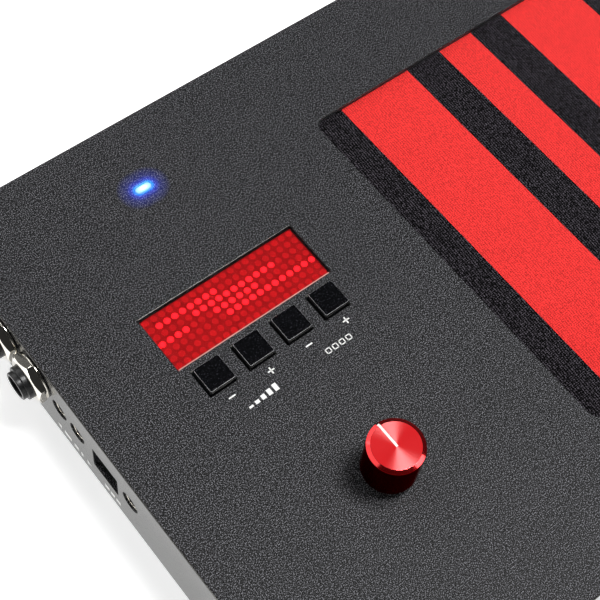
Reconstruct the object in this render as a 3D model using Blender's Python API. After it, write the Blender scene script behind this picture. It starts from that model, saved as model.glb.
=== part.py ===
"""Electronic fingerboard controller: a slim folded-sheet case with a fabric-faced playing surface.

Under the playing surface lies one sprung aluminium sensing bar for each half step, with a magnet near
each end above a row of sensors. The panel on the left carries a status light, a dot-matrix window,
four push buttons and a rotary knob, and the left wall carries the sockets.

Metres, +Z up. +X runs along the case and +Y to its rear edge. The origin is on the floor, under the
middle of the whole object, sockets included.
"""

import math

import bmesh
import bpy
from mathutils import Matrix, Vector

# Gap left between two pieces that touch
GAP = 0.0003

# Folded sheet case
SHEET = 0.0015
FOLD_RADIUS = 0.0006
WALL_HEIGHT = 0.0281
LEFT_MARGIN = 0.10725
RIGHT_MARGIN = 0.03045
EDGE_MARGIN = 0.0334
TRAY_FLANGE = 0.008

# Rubber feet
FOOT_HEIGHT = 0.0025
FOOT_RADIUS = 0.006
FOOT_DRAFT = 0.0004
FOOT_INSET = 0.018

# Playing surface: a pad of fabric-faced foam rubber, tucked under the edge of the opening
HALF_STEPS = 29
SEMITONE_PITCH = 0.013
OPENING_DEPTH = 0.1182
OPENING_CORNER = 0.0036
PAD_TUCK = 0.00235
PAD_THICKNESS = 0.0032
PAD_CORNER = 0.002

# Sensing bars, their magnets and their springs
BAR_SIDE_GAP = 0.0014
BAR_HEIGHT = 0.00635
BAR_OVERHANG = 0.01035
BAR_CHAMFER = 0.0004
BAR_TRAVEL = 0.0025
MAGNET_RADIUS = 0.0025
MAGNET_DEPTH = 0.002
MAGNET_INSET = 0.006
WIRE_RADIUS = 0.0005
WIRE_LAP = 0.0025
RAIL_CLEARANCE = 0.004
RAIL_WEB = 0.0025
RAIL_RISE = 0.0012
RAIL_END = 0.002
SENSOR_AIR = 0.002
SENSOR_HEIGHT = 0.0015
SENSOR_LENGTH = 0.004
SENSOR_DEPTH = 0.003
SENSOR_BOARD_DEPTH = 0.015
BOARD_THICKNESS = 0.0016

# Main board, on posts of the bottom plate
MAIN_BOARD_POST = 0.00475
MAIN_BOARD_EDGE = 0.009
MAIN_BOARD_END = 0.0075
POST_RADIUS = 0.0025
POST_INSET = 0.006

# Control column of the left panel
COLUMN_INSET = 0.0539
STATUS_LIGHT_FROM_REAR = 0.0233
DISPLAY_FROM_REAR = 0.06615
KNOB_FROM_REAR = 0.12915

# Dot-matrix display of four modules with their socket strips, standing in its window under a red filter
MODULES = 4
MODULE_PITCH = 0.0127
DISPLAY_DEPTH = 0.0178
DISPLAY_HEIGHT = 0.0094
MODULE_GROOVE = 0.0004
WINDOW_CLEARANCE = 0.0003
WINDOW_CORNER = 0.0003
FILTER_RECESS = 0.0005
FILTER_THICKNESS = 0.0006

# Push buttons and their switches
BUTTONS = 4
BUTTON_PITCH = 0.0127
BUTTON_ROW_GAP = 0.0022
BUTTON_SIZE = 0.0082
BUTTON_CORNER = 0.0004
BUTTON_BEVEL = 0.00025
BUTTON_RISE = 0.00175
BUTTON_TRAVEL = 0.0008
BUTTON_LIP = 0.0006
BUTTON_LIP_THICKNESS = 0.0012
BUTTON_STEM_RADIUS = 0.0015
SWITCH_SIZE = 0.0062
SWITCH_HEIGHT = 0.0035
SWITCH_FLOOR = 0.0006

# Status light
LIGHT_LENGTH = 0.005
LIGHT_WIDTH = 0.0022
LIGHT_RISE = 0.0001
LIGHT_CORNER_SHARE = 0.45
LIGHT_COLLAR = 0.001
LIGHT_COLLAR_THICKNESS = 0.0015
LED_LENGTH = 0.0032
LED_WIDTH = 0.0016
LED_HEIGHT = 0.0012

# Control board
CONTROL_BOARD_SIDE = 0.0011
CONTROL_BOARD_FRONT = 0.004
TONGUE_WIDTH = 0.014
TONGUE_END = 0.006
STUD_RADIUS = 0.00175
STUD_INSET = 0.0035

# Rotary control and its knob
POT_SIZE = 0.012
POT_FLOOR = 0.0019
BUSHING_RADIUS = 0.0035
BUSHING_RISE = 0.0046
POT_NUT_FLATS = 0.010
POT_NUT_HEIGHT = 0.0022
SHAFT_RADIUS = 0.003
SHAFT_CLEARANCE = 0.0001
KNOB_RADIUS = 0.0075
KNOB_LENGTH = 0.013
KNOB_LIFT = 0.0035
KNOB_BEVEL_WIDTH = 0.0011
KNOB_BEVEL_HEIGHT = 0.00045
KNOB_FOOT_CHAMFER = 0.0003
KNOB_CROWN = 0.0023
KNOB_RECESS_RADIUS = 0.005
KNOB_RECESS_DEPTH = 0.002
POINTER_WIDTH = 0.0006
POINTER_DEPTH = 0.00025

# Quarter-inch output jacks
JACK_FROM_REAR = 0.0357
JACK_GAP = 0.0018
JACK_HEADROOM = 0.0006
JACK_BODY_WIDTH = 0.013
JACK_BODY_HEIGHT = 0.0126
JACK_BODY_LENGTH = 0.025
JACK_FLOOR = 0.0015
JACK_BORE_RADIUS = 0.00325
JACK_BARREL_RADIUS = 0.00495
JACK_NOSE_RADIUS = 0.00415
JACK_NOSE_LENGTH = 0.0014
JACK_PROJECTION = 0.0063
NUT_FLATS = 0.0132
NUT_THICKNESS = 0.0033
NUT_CHAMFER = 0.0004
NUT_TURN = math.radians(-7)
NUT_WASHER_RADIUS = 0.0071
NUT_WASHER_THICKNESS = 0.0005

# Miniature jacks and the computer socket, soldered to the main board
JACK_TO_MINI_GAP = 0.0003
MINI_GAP = 0.0007
MINI_TO_USB_GAP = 0.0029
USB_TO_MINI_GAP = 0.0014
MINI_WIDTH = 0.0076
MINI_LENGTH = 0.012
MINI_AXIS_HEIGHT = 0.00745
MINI_NOSE_RADIUS = 0.0029
MINI_NOSE_RECESS = 0.0005
MINI_BORE_RADIUS = 0.0018
MINI_WALL = 0.0005
USB_WIDTH = 0.012
USB_HEIGHT = 0.011
USB_LENGTH = 0.014
USB_CUTOUT_INSET = 0.0005
USB_MOUTH_WIDTH = 0.00845
USB_MOUTH_HEIGHT = 0.00778
USB_MOUTH_DEPTH = 0.0095
USB_TONGUE_WIDTH = 0.0056
USB_TONGUE_HEIGHT = 0.0032
USB_TONGUE_LENGTH = 0.0085

# How far a cutter or a joined shape runs past the face that it meets
PAST = 0.001

# Case outline
pad_length = HALF_STEPS * SEMITONE_PITCH
pad_depth = OPENING_DEPTH + 2 * PAD_TUCK
opening_length = pad_length - 2 * PAD_TUCK
case_length = LEFT_MARGIN + opening_length + RIGHT_MARGIN
case_depth = OPENING_DEPTH + 2 * EDGE_MARGIN
left_x = (JACK_PROJECTION - case_length) / 2
case_x = left_x + case_length / 2
opening_x = left_x + LEFT_MARGIN + opening_length / 2
rear_y = case_depth / 2
tray_length = case_length - 2 * (SHEET + GAP)
tray_depth = case_depth - 2 * (SHEET + GAP)

# Heights from the floor up
case_bottom = FOOT_HEIGHT
plate_top = case_bottom + SHEET
main_board_bottom = plate_top + MAIN_BOARD_POST + GAP
main_board_top = main_board_bottom + BOARD_THICKNESS

# Heights from the panel down
panel_top = case_bottom + WALL_HEIGHT
panel_under = panel_top - SHEET
pad_top = panel_under - GAP
pad_bottom = pad_top - PAD_THICKNESS
bar_top = pad_bottom - GAP
bar_bottom = bar_top - BAR_HEIGHT
magnet_bottom = bar_bottom - MAGNET_DEPTH
wire_height = bar_bottom - GAP - WIRE_RADIUS
sensor_top = magnet_bottom - BAR_TRAVEL - SENSOR_AIR
sensor_board_top = sensor_top - SENSOR_HEIGHT
sensor_board_bottom = sensor_board_top - BOARD_THICKNESS
filter_top = panel_top - FILTER_RECESS
filter_bottom = filter_top - FILTER_THICKNESS
display_top = filter_bottom - GAP
display_bottom = display_top - DISPLAY_HEIGHT
control_board_top = display_bottom - GAP
control_board_bottom = control_board_top - BOARD_THICKNESS

# Sensing bars and rails
bar_width = SEMITONE_PITCH - BAR_SIDE_GAP
bar_length = pad_depth + 2 * BAR_OVERHANG
magnet_y = bar_length / 2 - MAGNET_INSET
web_y = bar_length / 2 + RAIL_CLEARANCE
rail_length = pad_length + 2 * RAIL_END

# Control column
column_x = left_x + COLUMN_INSET
status_light_y = rear_y - STATUS_LIGHT_FROM_REAR
display_y = rear_y - DISPLAY_FROM_REAR
knob_y = rear_y - KNOB_FROM_REAR
display_length = MODULES * MODULE_PITCH
window_length = display_length + 2 * WINDOW_CLEARANCE
window_depth = DISPLAY_DEPTH + 2 * WINDOW_CLEARANCE
button_hole = BUTTON_SIZE + 2 * GAP
buttons_y = display_y - window_depth / 2 - BUTTON_ROW_GAP - button_hole / 2
control_board_half = display_length / 2 + CONTROL_BOARD_SIDE
control_board_rear = display_y + DISPLAY_DEPTH / 2 + GAP
control_board_front = knob_y - POT_SIZE / 2 - CONTROL_BOARD_FRONT

# Sockets along the left wall, from the rear
jack_pitch = JACK_BODY_WIDTH + JACK_GAP
jacks_y = [rear_y - JACK_FROM_REAR - i * jack_pitch for i in range(2)]
jack_z = panel_under - JACK_HEADROOM - JACK_BODY_HEIGHT / 2
first_mini_y = jacks_y[1] - (JACK_BODY_WIDTH + MINI_WIDTH) / 2 - JACK_TO_MINI_GAP
second_mini_y = first_mini_y - MINI_WIDTH - MINI_GAP
usb_y = second_mini_y - (MINI_WIDTH + USB_WIDTH) / 2 - MINI_TO_USB_GAP
third_mini_y = usb_y - (USB_WIDTH + MINI_WIDTH) / 2 - USB_TO_MINI_GAP
minis_y = [first_mini_y, second_mini_y, third_mini_y]
mini_z = main_board_top + MINI_AXIS_HEIGHT
usb_z = main_board_top + GAP + USB_HEIGHT / 2

# Panel holes
status_slot_length = LIGHT_LENGTH + 2 * GAP
status_slot_width = LIGHT_WIDTH + 2 * GAP
bushing_hole_radius = BUSHING_RADIUS + GAP
jack_hole_radius = JACK_BARREL_RADIUS + GAP
mini_hole_radius = MINI_NOSE_RADIUS + GAP
usb_cutout_width = USB_WIDTH - 2 * USB_CUTOUT_INSET
usb_cutout_height = USB_HEIGHT - 2 * USB_CUTOUT_INSET


def remove_objects():
    for obj in list(bpy.data.objects):
        bpy.data.objects.remove(obj)


def make_material(name, colour, roughness, metallic=0.0):
    mat = bpy.data.materials.new(name)
    mat.use_nodes = True
    shader = mat.node_tree.nodes["Principled BSDF"]
    shader.inputs["Base Color"].default_value = (*colour, 1.0)
    shader.inputs["Roughness"].default_value = roughness
    shader.inputs["Metallic"].default_value = metallic
    mat.diffuse_color = (*colour, 1.0)
    return mat


def finish_mesh(name, bm):
    """A mesh from bm with its normals facing out and its round faces shaded smooth."""
    bmesh.ops.recalc_face_normals(bm, faces=bm.faces)
    mesh = bpy.data.meshes.new(name)
    bm.to_mesh(mesh)
    bm.free()
    mesh.shade_smooth()
    mesh.set_sharp_from_angle(angle=math.radians(35))
    return mesh


def add_object(name, mesh, mat=None, location=(0, 0, 0), rotation=(0, 0, 0), parent=None):
    obj = bpy.data.objects.new(name, mesh)
    bpy.context.scene.collection.objects.link(obj)
    obj.location = location
    obj.rotation_euler = rotation
    obj.parent = parent
    if mat and not mesh.materials:
        mesh.materials.append(mat)
    return obj


def add_boolean(obj, name, bm, operation):
    """Cuts the closed shapes in bm from obj, or joins them to it. They share obj's own axes."""
    tool = add_object(name, finish_mesh(name, bm))
    tool.parent = obj
    tool.hide_render = True
    tool.display_type = "WIRE"
    modifier = obj.modifiers.new(name, "BOOLEAN")
    modifier.operation = operation
    modifier.object = tool


def circle(radius, count):
    angles = [2 * math.pi * i / count for i in range(count)]
    return [(radius * math.cos(a), radius * math.sin(a)) for a in angles]


def polygon(sides, flats, count, corner_angle=0.0):
    """A regular polygon by its distance across flats, on count evenly spaced angles."""
    points = []
    for i in range(count):
        angle = 2 * math.pi * i / count
        from_corner = (angle - corner_angle) % (2 * math.pi / sides)
        radius = flats / 2 / math.cos(from_corner - math.pi / sides)
        points.append((radius * math.cos(angle), radius * math.sin(angle)))
    return points


def rectangle(width, depth, corner, steps=2, centre=(0.0, 0.0)):
    """A rectangle with round corners, counter-clockwise."""
    points = []
    for quarter, (sx, sy) in enumerate(((1, 1), (-1, 1), (-1, -1), (1, -1))):
        cx = centre[0] + sx * (width / 2 - corner)
        cy = centre[1] + sy * (depth / 2 - corner)
        for step in range(steps + 1):
            angle = math.pi / 2 * (quarter + step / steps)
            points.append((cx + corner * math.cos(angle), cy + corner * math.sin(angle)))
    return points


def on_circle(points, radius):
    """The points moved along their own directions to a circle."""
    moved = []
    for x, y in points:
        length = math.hypot(x, y)
        moved.append((x / length * radius, y / length * radius))
    return moved


def loft(bm, sections, closed=False):
    """Joins outlines of one point count, given as (outline, height), with caps or as a closed loop."""
    rings = [[bm.verts.new((x, y, z)) for x, y in outline] for outline, z in sections]
    pairs = list(zip(rings, rings[1:]))
    if closed:
        pairs.append((rings[-1], rings[0]))
    else:
        bm.faces.new(rings[0])
        bm.faces.new(rings[-1])
    count = len(rings[0])
    for low, high in pairs:
        for i in range(count):
            j = (i + 1) % count
            bm.faces.new((low[i], low[j], high[j], high[i]))


def prism(bm, outline, low, high, centre=(0.0, 0.0)):
    moved = [(x + centre[0], y + centre[1]) for x, y in outline]
    loft(bm, [(moved, low), (moved, high)])


def box(bm, low, high):
    low = Vector(low)
    high = Vector(high)
    place = Matrix.Translation((low + high) / 2) @ Matrix.Diagonal((*(high - low), 1))
    bmesh.ops.create_cube(bm, size=1, matrix=place)


def rod(bm, radius, start, end, sides):
    """A cylinder between two points."""
    start = Vector(start)
    end = Vector(end)
    along = end - start
    turn = along.to_track_quat("Z", "Y").to_matrix().to_4x4()
    place = Matrix.Translation((start + end) / 2) @ turn
    bmesh.ops.create_cone(
        bm,
        cap_ends=True,
        segments=sides,
        radius1=radius,
        radius2=radius,
        depth=along.length,
        matrix=place,
    )


def folded_sheet(name, size, centre, open_normals, mat):
    """A box of sheet with the faces along open_normals left off, its folds rounded, SHEET thick."""
    bm = bmesh.new()
    place = Matrix.Translation(centre) @ Matrix.Diagonal((*size, 1))
    bmesh.ops.create_cube(bm, size=1, matrix=place)
    bm.normal_update()
    open_faces = {f for f in bm.faces if any(f.normal.dot(Vector(n)) > 0.9 for n in open_normals)}
    folds = [e for e in bm.edges if open_faces.isdisjoint(e.link_faces)]
    bmesh.ops.bevel(
        bm, geom=folds, offset=FOLD_RADIUS, segments=3, profile=0.5, affect="EDGES"
    )
    obj = add_object(name, finish_mesh(name, bm), mat)
    low = Vector(centre) - Vector(size) / 2 + Vector((SHEET, SHEET, SHEET))
    high = Vector(centre) + Vector(size) / 2 - Vector((SHEET, SHEET, SHEET))
    for normal in open_normals:
        for axis, way in enumerate(normal):
            low[axis] += min(way, 0) * (SHEET + PAST)
            high[axis] += max(way, 0) * (SHEET + PAST)
    inside = bmesh.new()
    box(inside, low, high)
    add_boolean(obj, f"{name}_inside", inside, "DIFFERENCE")
    return obj


def stud_places():
    side = control_board_half - STUD_INSET
    middle = buttons_y - button_hole - STUD_INSET
    front = control_board_front + STUD_INSET
    pairs = [(column_x + sign * side, y) for y in (middle, front) for sign in (-1, 1)]
    return pairs + [(column_x, (status_light_y + control_board_rear) / 2)]


def button_places():
    first = -(BUTTONS - 1) / 2
    return [(column_x + (first + i) * BUTTON_PITCH, buttons_y) for i in range(BUTTONS)]


def add_top_cover(mat):
    size = (case_length, case_depth, WALL_HEIGHT)
    centre = (case_x, 0, case_bottom + WALL_HEIGHT / 2)
    cover = folded_sheet("top_cover", size, centre, [(0, 0, -1)], mat)

    panel = (panel_under - PAST, panel_top + PAST)
    holes = bmesh.new()
    opening = rectangle(opening_length, OPENING_DEPTH, OPENING_CORNER, steps=4)
    prism(holes, opening, *panel, centre=(opening_x, 0))
    window = rectangle(window_length, window_depth, WINDOW_CORNER)
    prism(holes, window, *panel, centre=(column_x, display_y))
    for place in button_places():
        prism(holes, rectangle(button_hole, button_hole, BUTTON_CORNER), *panel, centre=place)
    corner = LIGHT_CORNER_SHARE * status_slot_width
    slot = rectangle(status_slot_length, status_slot_width, corner, steps=4)
    prism(holes, slot, *panel, centre=(column_x, status_light_y))
    prism(holes, circle(bushing_hole_radius, 24), *panel, centre=(column_x, knob_y))

    outside = left_x - PAST
    inside = left_x + SHEET + PAST
    for y in jacks_y:
        rod(holes, jack_hole_radius, (outside, y, jack_z), (inside, y, jack_z), 24)
    for y in minis_y:
        rod(holes, mini_hole_radius, (outside, y, mini_z), (inside, y, mini_z), 24)
    half_width = usb_cutout_width / 2
    half_height = usb_cutout_height / 2
    box(
        holes,
        (outside, usb_y - half_width, usb_z - half_height),
        (inside, usb_y + half_width, usb_z + half_height),
    )
    add_boolean(cover, "top_cover_holes", holes, "DIFFERENCE")

    studs = bmesh.new()
    for x, y in stud_places():
        low = (x, y, control_board_top + GAP)
        rod(studs, STUD_RADIUS, low, (x, y, panel_under + SHEET / 2), 12)
    add_boolean(cover, "top_cover_studs", studs, "UNION")


def add_bottom_plate(mat):
    size = (tray_length, tray_depth, TRAY_FLANGE)
    centre = (case_x, 0, case_bottom + TRAY_FLANGE / 2)
    plate = folded_sheet("bottom_plate", size, centre, [(0, 0, 1), (1, 0, 0), (-1, 0, 0)], mat)
    low, high = main_board_corners()
    posts = bmesh.new()
    for x in (low[0] + POST_INSET, high[0] - POST_INSET):
        for y in (low[1] + POST_INSET, high[1] - POST_INSET):
            start = (x, y, plate_top - SHEET / 2)
            rod(posts, POST_RADIUS, start, (x, y, main_board_bottom - GAP), 12)
    add_boolean(plate, "bottom_plate_posts", posts, "UNION")


def add_feet(mat):
    mesh = None
    number = 0
    for sy in (1, -1):
        for sx in (-1, 1):
            number += 1
            if mesh is None:
                bm = bmesh.new()
                low = circle(FOOT_RADIUS - FOOT_DRAFT, 24)
                loft(bm, [(low, 0), (circle(FOOT_RADIUS, 24), FOOT_HEIGHT - GAP)])
                mesh = finish_mesh("rubber_foot", bm)
            x = case_x + sx * (case_length / 2 - FOOT_INSET)
            y = sy * (rear_y - FOOT_INSET)
            add_object(f"rubber_foot_{number}", mesh, mat, (x, y, 0))


def add_playing_surface(mat):
    bm = bmesh.new()
    prism(bm, rectangle(pad_length, pad_depth, PAD_CORNER, steps=3), pad_bottom, pad_top)
    add_object("playing_surface", finish_mesh("playing_surface", bm), mat, (opening_x, 0, 0))


def bar_places():
    first = opening_x - pad_length / 2 + SEMITONE_PITCH / 2
    return [first + i * SEMITONE_PITCH for i in range(HALF_STEPS)]


def joined_mesh(name, base, extra):
    """One mesh from the shape in base with the shapes in extra joined to it."""
    obj = add_object(name, finish_mesh(name, base))
    add_boolean(obj, f"{name}_extra", extra, "UNION")
    bpy.context.view_layer.update()
    evaluated = obj.evaluated_get(bpy.context.evaluated_depsgraph_get())
    mesh = bpy.data.meshes.new_from_object(evaluated)
    for child in list(obj.children):
        bpy.data.objects.remove(child)
    bpy.data.objects.remove(obj)
    return mesh


def add_sensing_bars(mat):
    """One bar for each half step, its origin at the middle of its top face."""
    half = bar_width / 2
    profile = [
        (-half, -BAR_HEIGHT),
        (half, -BAR_HEIGHT),
        (half, -BAR_CHAMFER),
        (half - BAR_CHAMFER, 0),
        (-half + BAR_CHAMFER, 0),
        (-half, -BAR_CHAMFER),
    ]
    bar = bmesh.new()
    loft(bar, [(profile, -bar_length / 2), (profile, bar_length / 2)])
    upright = Matrix.Rotation(math.pi / 2, 4, "X")
    bmesh.ops.transform(bar, matrix=upright, verts=bar.verts)
    magnets = bmesh.new()
    for y in (-magnet_y, magnet_y):
        low = (0, y, -BAR_HEIGHT - MAGNET_DEPTH)
        rod(magnets, MAGNET_RADIUS, low, (0, y, -BAR_HEIGHT / 2), 10)
    mesh = joined_mesh("sensing_bar", bar, magnets)
    for number, x in enumerate(bar_places(), 1):
        add_object(f"sensing_bar_{number:02d}", mesh, mat, (x, 0, bar_top))


def add_spring_rails(mat):
    """An L-shaped rail along each end of the bars, with a sprung wire under every bar's end."""
    foot = plate_top + GAP
    ledge = sensor_board_bottom - GAP
    ledge_y = web_y - GAP - SENSOR_BOARD_DEPTH
    top = wire_height + RAIL_RISE
    profile = [
        (ledge_y, foot),
        (web_y + RAIL_WEB, foot),
        (web_y + RAIL_WEB, top),
        (web_y, top),
        (web_y, ledge),
        (ledge_y, ledge),
    ]
    rail = bmesh.new()
    loft(rail, [(profile, -rail_length / 2), (profile, rail_length / 2)])
    along_x = Matrix(((0, 0, 1), (1, 0, 0), (0, 1, 0))).to_4x4()
    bmesh.ops.transform(rail, matrix=along_x, verts=rail.verts)
    wires = bmesh.new()
    reach = bar_length / 2 - WIRE_LAP
    for x in bar_places():
        start = (x - opening_x, web_y + RAIL_WEB / 2, wire_height)
        rod(wires, WIRE_RADIUS, start, (x - opening_x, reach, wire_height), 8)
    mesh = joined_mesh("spring_rail", rail, wires)
    add_object("rear_spring_rail", mesh, mat, (opening_x, 0, 0))
    add_object("front_spring_rail", mesh, mat, (opening_x, 0, 0), (0, 0, math.pi))


def add_sensor_boards(mat):
    """A circuit board on each rail's ledge, with one sensor under every magnet."""
    outer = web_y - GAP
    board = bmesh.new()
    box(
        board,
        (-rail_length / 2, outer - SENSOR_BOARD_DEPTH, sensor_board_bottom),
        (rail_length / 2, outer, sensor_board_top),
    )
    sensors = bmesh.new()
    for x in bar_places():
        middle = x - opening_x
        box(
            sensors,
            (middle - SENSOR_LENGTH / 2, magnet_y - SENSOR_DEPTH / 2, sensor_board_top - PAST / 2),
            (middle + SENSOR_LENGTH / 2, magnet_y + SENSOR_DEPTH / 2, sensor_top),
        )
    mesh = joined_mesh("sensor_board", board, sensors)
    add_object("rear_sensor_board", mesh, mat, (opening_x, 0, 0))
    add_object("front_sensor_board", mesh, mat, (opening_x, 0, 0), (0, 0, math.pi))


def main_board_corners():
    side = tray_depth / 2 - SHEET - MAIN_BOARD_EDGE
    left = left_x + SHEET + GAP
    right = opening_x - rail_length / 2 - MAIN_BOARD_END
    return (left, -side, main_board_bottom), (right, side, main_board_top)


def add_main_board(mat):
    low, high = main_board_corners()
    bm = bmesh.new()
    box(bm, low, high)
    board = add_object("main_board", finish_mesh("main_board", bm), mat)
    chips = bmesh.new()
    middle_x = (low[0] + high[0]) / 2
    sunk = main_board_top - BOARD_THICKNESS / 2
    # Each chip: place across and along the board, then width, depth and height
    for x, y, width, depth, height in (
        (0.014, -0.010, 0.014, 0.014, 0.0014),
        (0.012, 0.026, 0.010, 0.008, 0.0018),
        (-0.006, -0.040, 0.006, 0.010, 0.0018),
        (0.018, -0.048, 0.018, 0.005, 0.0040),
    ):
        box(
            chips,
            (middle_x + x - width / 2, y - depth / 2, sunk),
            (middle_x + x + width / 2, y + depth / 2, main_board_top + height),
        )
    for x, y in ((-0.008, -0.024), (0.002, -0.024)):
        start = (middle_x + x, y, sunk)
        rod(chips, 0.003, start, (middle_x + x, y, main_board_top + 0.005), 16)
    add_boolean(board, "main_board_chips", chips, "UNION")


def add_control_board(mat):
    """A T-shaped board with the switches' housings and the status light's lamp soldered on."""
    tongue = TONGUE_WIDTH / 2
    end = status_light_y + TONGUE_END
    outline = [
        (-control_board_half, control_board_front),
        (control_board_half, control_board_front),
        (control_board_half, control_board_rear),
        (tongue, control_board_rear),
        (tongue, end),
        (-tongue, end),
        (-tongue, control_board_rear),
        (-control_board_half, control_board_rear),
    ]
    bm = bmesh.new()
    prism(bm, outline, control_board_bottom, control_board_top)
    board = add_object("control_board", finish_mesh("control_board", bm), mat, (column_x, 0, 0))

    sunk = control_board_top - BOARD_THICKNESS / 2
    parts = bmesh.new()
    for x, y in button_places():
        housing = rectangle(SWITCH_SIZE, SWITCH_SIZE, BUTTON_CORNER)
        prism(parts, housing, sunk, control_board_top + SWITCH_HEIGHT, (x - column_x, y))
    lamp_top = control_board_top + LED_HEIGHT
    lamp = (LED_LENGTH / 2, LED_WIDTH / 2)
    box(
        parts,
        (-lamp[0], status_light_y - lamp[1], sunk),
        (lamp[0], status_light_y + lamp[1], lamp_top),
    )
    add_boolean(board, "control_board_parts", parts, "UNION")

    wells = bmesh.new()
    for x, y in button_places():
        low = (x - column_x, y, control_board_top + SWITCH_FLOOR)
        high = (x - column_x, y, control_board_top + SWITCH_HEIGHT + PAST)
        rod(wells, BUTTON_STEM_RADIUS + GAP, low, high, 16)
    add_boolean(board, "control_board_wells", wells, "DIFFERENCE")


def add_display(body_mat, filter_mat):
    bm = bmesh.new()
    size = (display_length / 2, DISPLAY_DEPTH / 2)
    box(bm, (-size[0], -size[1], display_bottom), (size[0], size[1], display_top))
    mesh = finish_mesh("dot_matrix_display", bm)
    place = (column_x, display_y, 0)
    display = add_object("dot_matrix_display", mesh, body_mat, place)
    grooves = bmesh.new()
    for i in range(1, MODULES):
        x = -display_length / 2 + i * MODULE_PITCH
        box(
            grooves,
            (x - MODULE_GROOVE / 2, -DISPLAY_DEPTH, display_top - MODULE_GROOVE),
            (x + MODULE_GROOVE / 2, DISPLAY_DEPTH, display_top + PAST),
        )
    add_boolean(display, "display_grooves", grooves, "DIFFERENCE")

    bm = bmesh.new()
    prism(bm, rectangle(display_length, DISPLAY_DEPTH, WINDOW_CORNER), filter_bottom, filter_top)
    add_object("display_filter", finish_mesh("display_filter", bm), filter_mat, place)


def add_button_caps(mat):
    """Square caps with a lip under the panel and a round stem into the switch, origins at the panel."""
    body = rectangle(BUTTON_SIZE, BUTTON_SIZE, BUTTON_CORNER)
    face = rectangle(
        BUTTON_SIZE - 2 * BUTTON_BEVEL, BUTTON_SIZE - 2 * BUTTON_BEVEL, BUTTON_CORNER
    )
    lip_size = BUTTON_SIZE + 2 * BUTTON_LIP
    lip = rectangle(lip_size, lip_size, BUTTON_CORNER)
    stem = on_circle(body, BUTTON_STEM_RADIUS)
    lip_top = panel_under - GAP - panel_top
    lip_bottom = lip_top - BUTTON_LIP_THICKNESS
    stem_end = control_board_top + SWITCH_FLOOR + BUTTON_TRAVEL + GAP - panel_top
    bm = bmesh.new()
    loft(
        bm,
        [
            (stem, stem_end),
            (stem, lip_bottom),
            (lip, lip_bottom),
            (lip, lip_top),
            (body, lip_top),
            (body, BUTTON_RISE - BUTTON_BEVEL),
            (face, BUTTON_RISE),
        ],
    )
    mesh = finish_mesh("button_cap", bm)
    for number, (x, y) in enumerate(button_places(), 1):
        add_object(f"button_cap_{number}", mesh, mat, (x, y, panel_top))


def add_status_light(mat):
    pipe = rectangle(LIGHT_LENGTH, LIGHT_WIDTH, LIGHT_CORNER_SHARE * LIGHT_WIDTH, steps=4)
    collar = rectangle(
        LIGHT_LENGTH + 2 * LIGHT_COLLAR, LIGHT_WIDTH + 2 * LIGHT_COLLAR, LIGHT_WIDTH, steps=4
    )
    collar_top = panel_under - GAP
    collar_bottom = collar_top - LIGHT_COLLAR_THICKNESS
    bm = bmesh.new()
    loft(
        bm,
        [
            (pipe, control_board_top + LED_HEIGHT + GAP),
            (pipe, collar_bottom),
            (collar, collar_bottom),
            (collar, collar_top),
            (pipe, collar_top),
            (pipe, panel_top + LIGHT_RISE),
        ],
    )
    mesh = finish_mesh("status_light_pipe", bm)
    add_object("status_light_pipe", mesh, mat, (column_x, status_light_y, 0))


def add_rotary_control(pot_mat, shaft_mat, knob_mat):
    """The rotary control with its fixing nut, and the shaft and knob that turn about one axis."""
    count = 24
    body_low = control_board_top + GAP
    body_high = panel_under - GAP
    nut_low = panel_top + GAP
    nut_high = nut_low + POT_NUT_HEIGHT
    bushing_top = panel_top + BUSHING_RISE
    well_radius = SHAFT_RADIUS + SHAFT_CLEARANCE
    well_floor = body_low + POT_FLOOR
    square = polygon(4, POT_SIZE, count, corner_angle=math.pi / 4)
    nut = polygon(6, POT_NUT_FLATS, count)
    bushing = circle(BUSHING_RADIUS, count)
    well = circle(well_radius, count)
    bm = bmesh.new()
    loft(
        bm,
        [
            (square, body_low),
            (square, body_high),
            (bushing, body_high),
            (bushing, nut_low),
            (nut, nut_low),
            (nut, nut_high),
            (bushing, nut_high),
            (bushing, bushing_top),
            (well, bushing_top),
            (well, well_floor),
        ],
    )
    mesh = finish_mesh("rotary_control", bm)
    add_object("rotary_control", mesh, pot_mat, (column_x, knob_y, 0))

    axis = bpy.data.objects.new("knob_axis", None)
    bpy.context.scene.collection.objects.link(axis)
    axis.location = (column_x, knob_y, panel_top)
    knob_top = KNOB_LIFT + KNOB_LENGTH
    bore_top = knob_top - KNOB_CROWN
    shaft_low = well_floor + GAP - panel_top

    bm = bmesh.new()
    loft(bm, [(circle(SHAFT_RADIUS, 24), shaft_low), (circle(SHAFT_RADIUS, 24), bore_top - GAP)])
    add_object("control_shaft", finish_mesh("control_shaft", bm), shaft_mat, parent=axis)

    sides = 48
    bore = circle(SHAFT_RADIUS + GAP, sides)
    recess = circle(KNOB_RECESS_RADIUS, sides)
    skirt = circle(KNOB_RADIUS, sides)
    recess_top = KNOB_LIFT + KNOB_RECESS_DEPTH
    bm = bmesh.new()
    loft(
        bm,
        [
            (bore, bore_top),
            (bore, recess_top),
            (recess, recess_top),
            (recess, KNOB_LIFT),
            (circle(KNOB_RADIUS - KNOB_FOOT_CHAMFER, sides), KNOB_LIFT),
            (skirt, KNOB_LIFT + KNOB_FOOT_CHAMFER),
            (skirt, knob_top - KNOB_BEVEL_HEIGHT),
            (circle(KNOB_RADIUS - KNOB_BEVEL_WIDTH, sides), knob_top),
        ],
    )
    knob = add_object("knob", finish_mesh("knob", bm), knob_mat, parent=axis)
    pointer = bmesh.new()
    half = POINTER_WIDTH / 2
    box(
        pointer,
        (-half, -half, knob_top - POINTER_DEPTH),
        (half, KNOB_RADIUS + PAST, knob_top + PAST),
    )
    add_boolean(knob, "knob_pointer", pointer, "DIFFERENCE")


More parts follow.
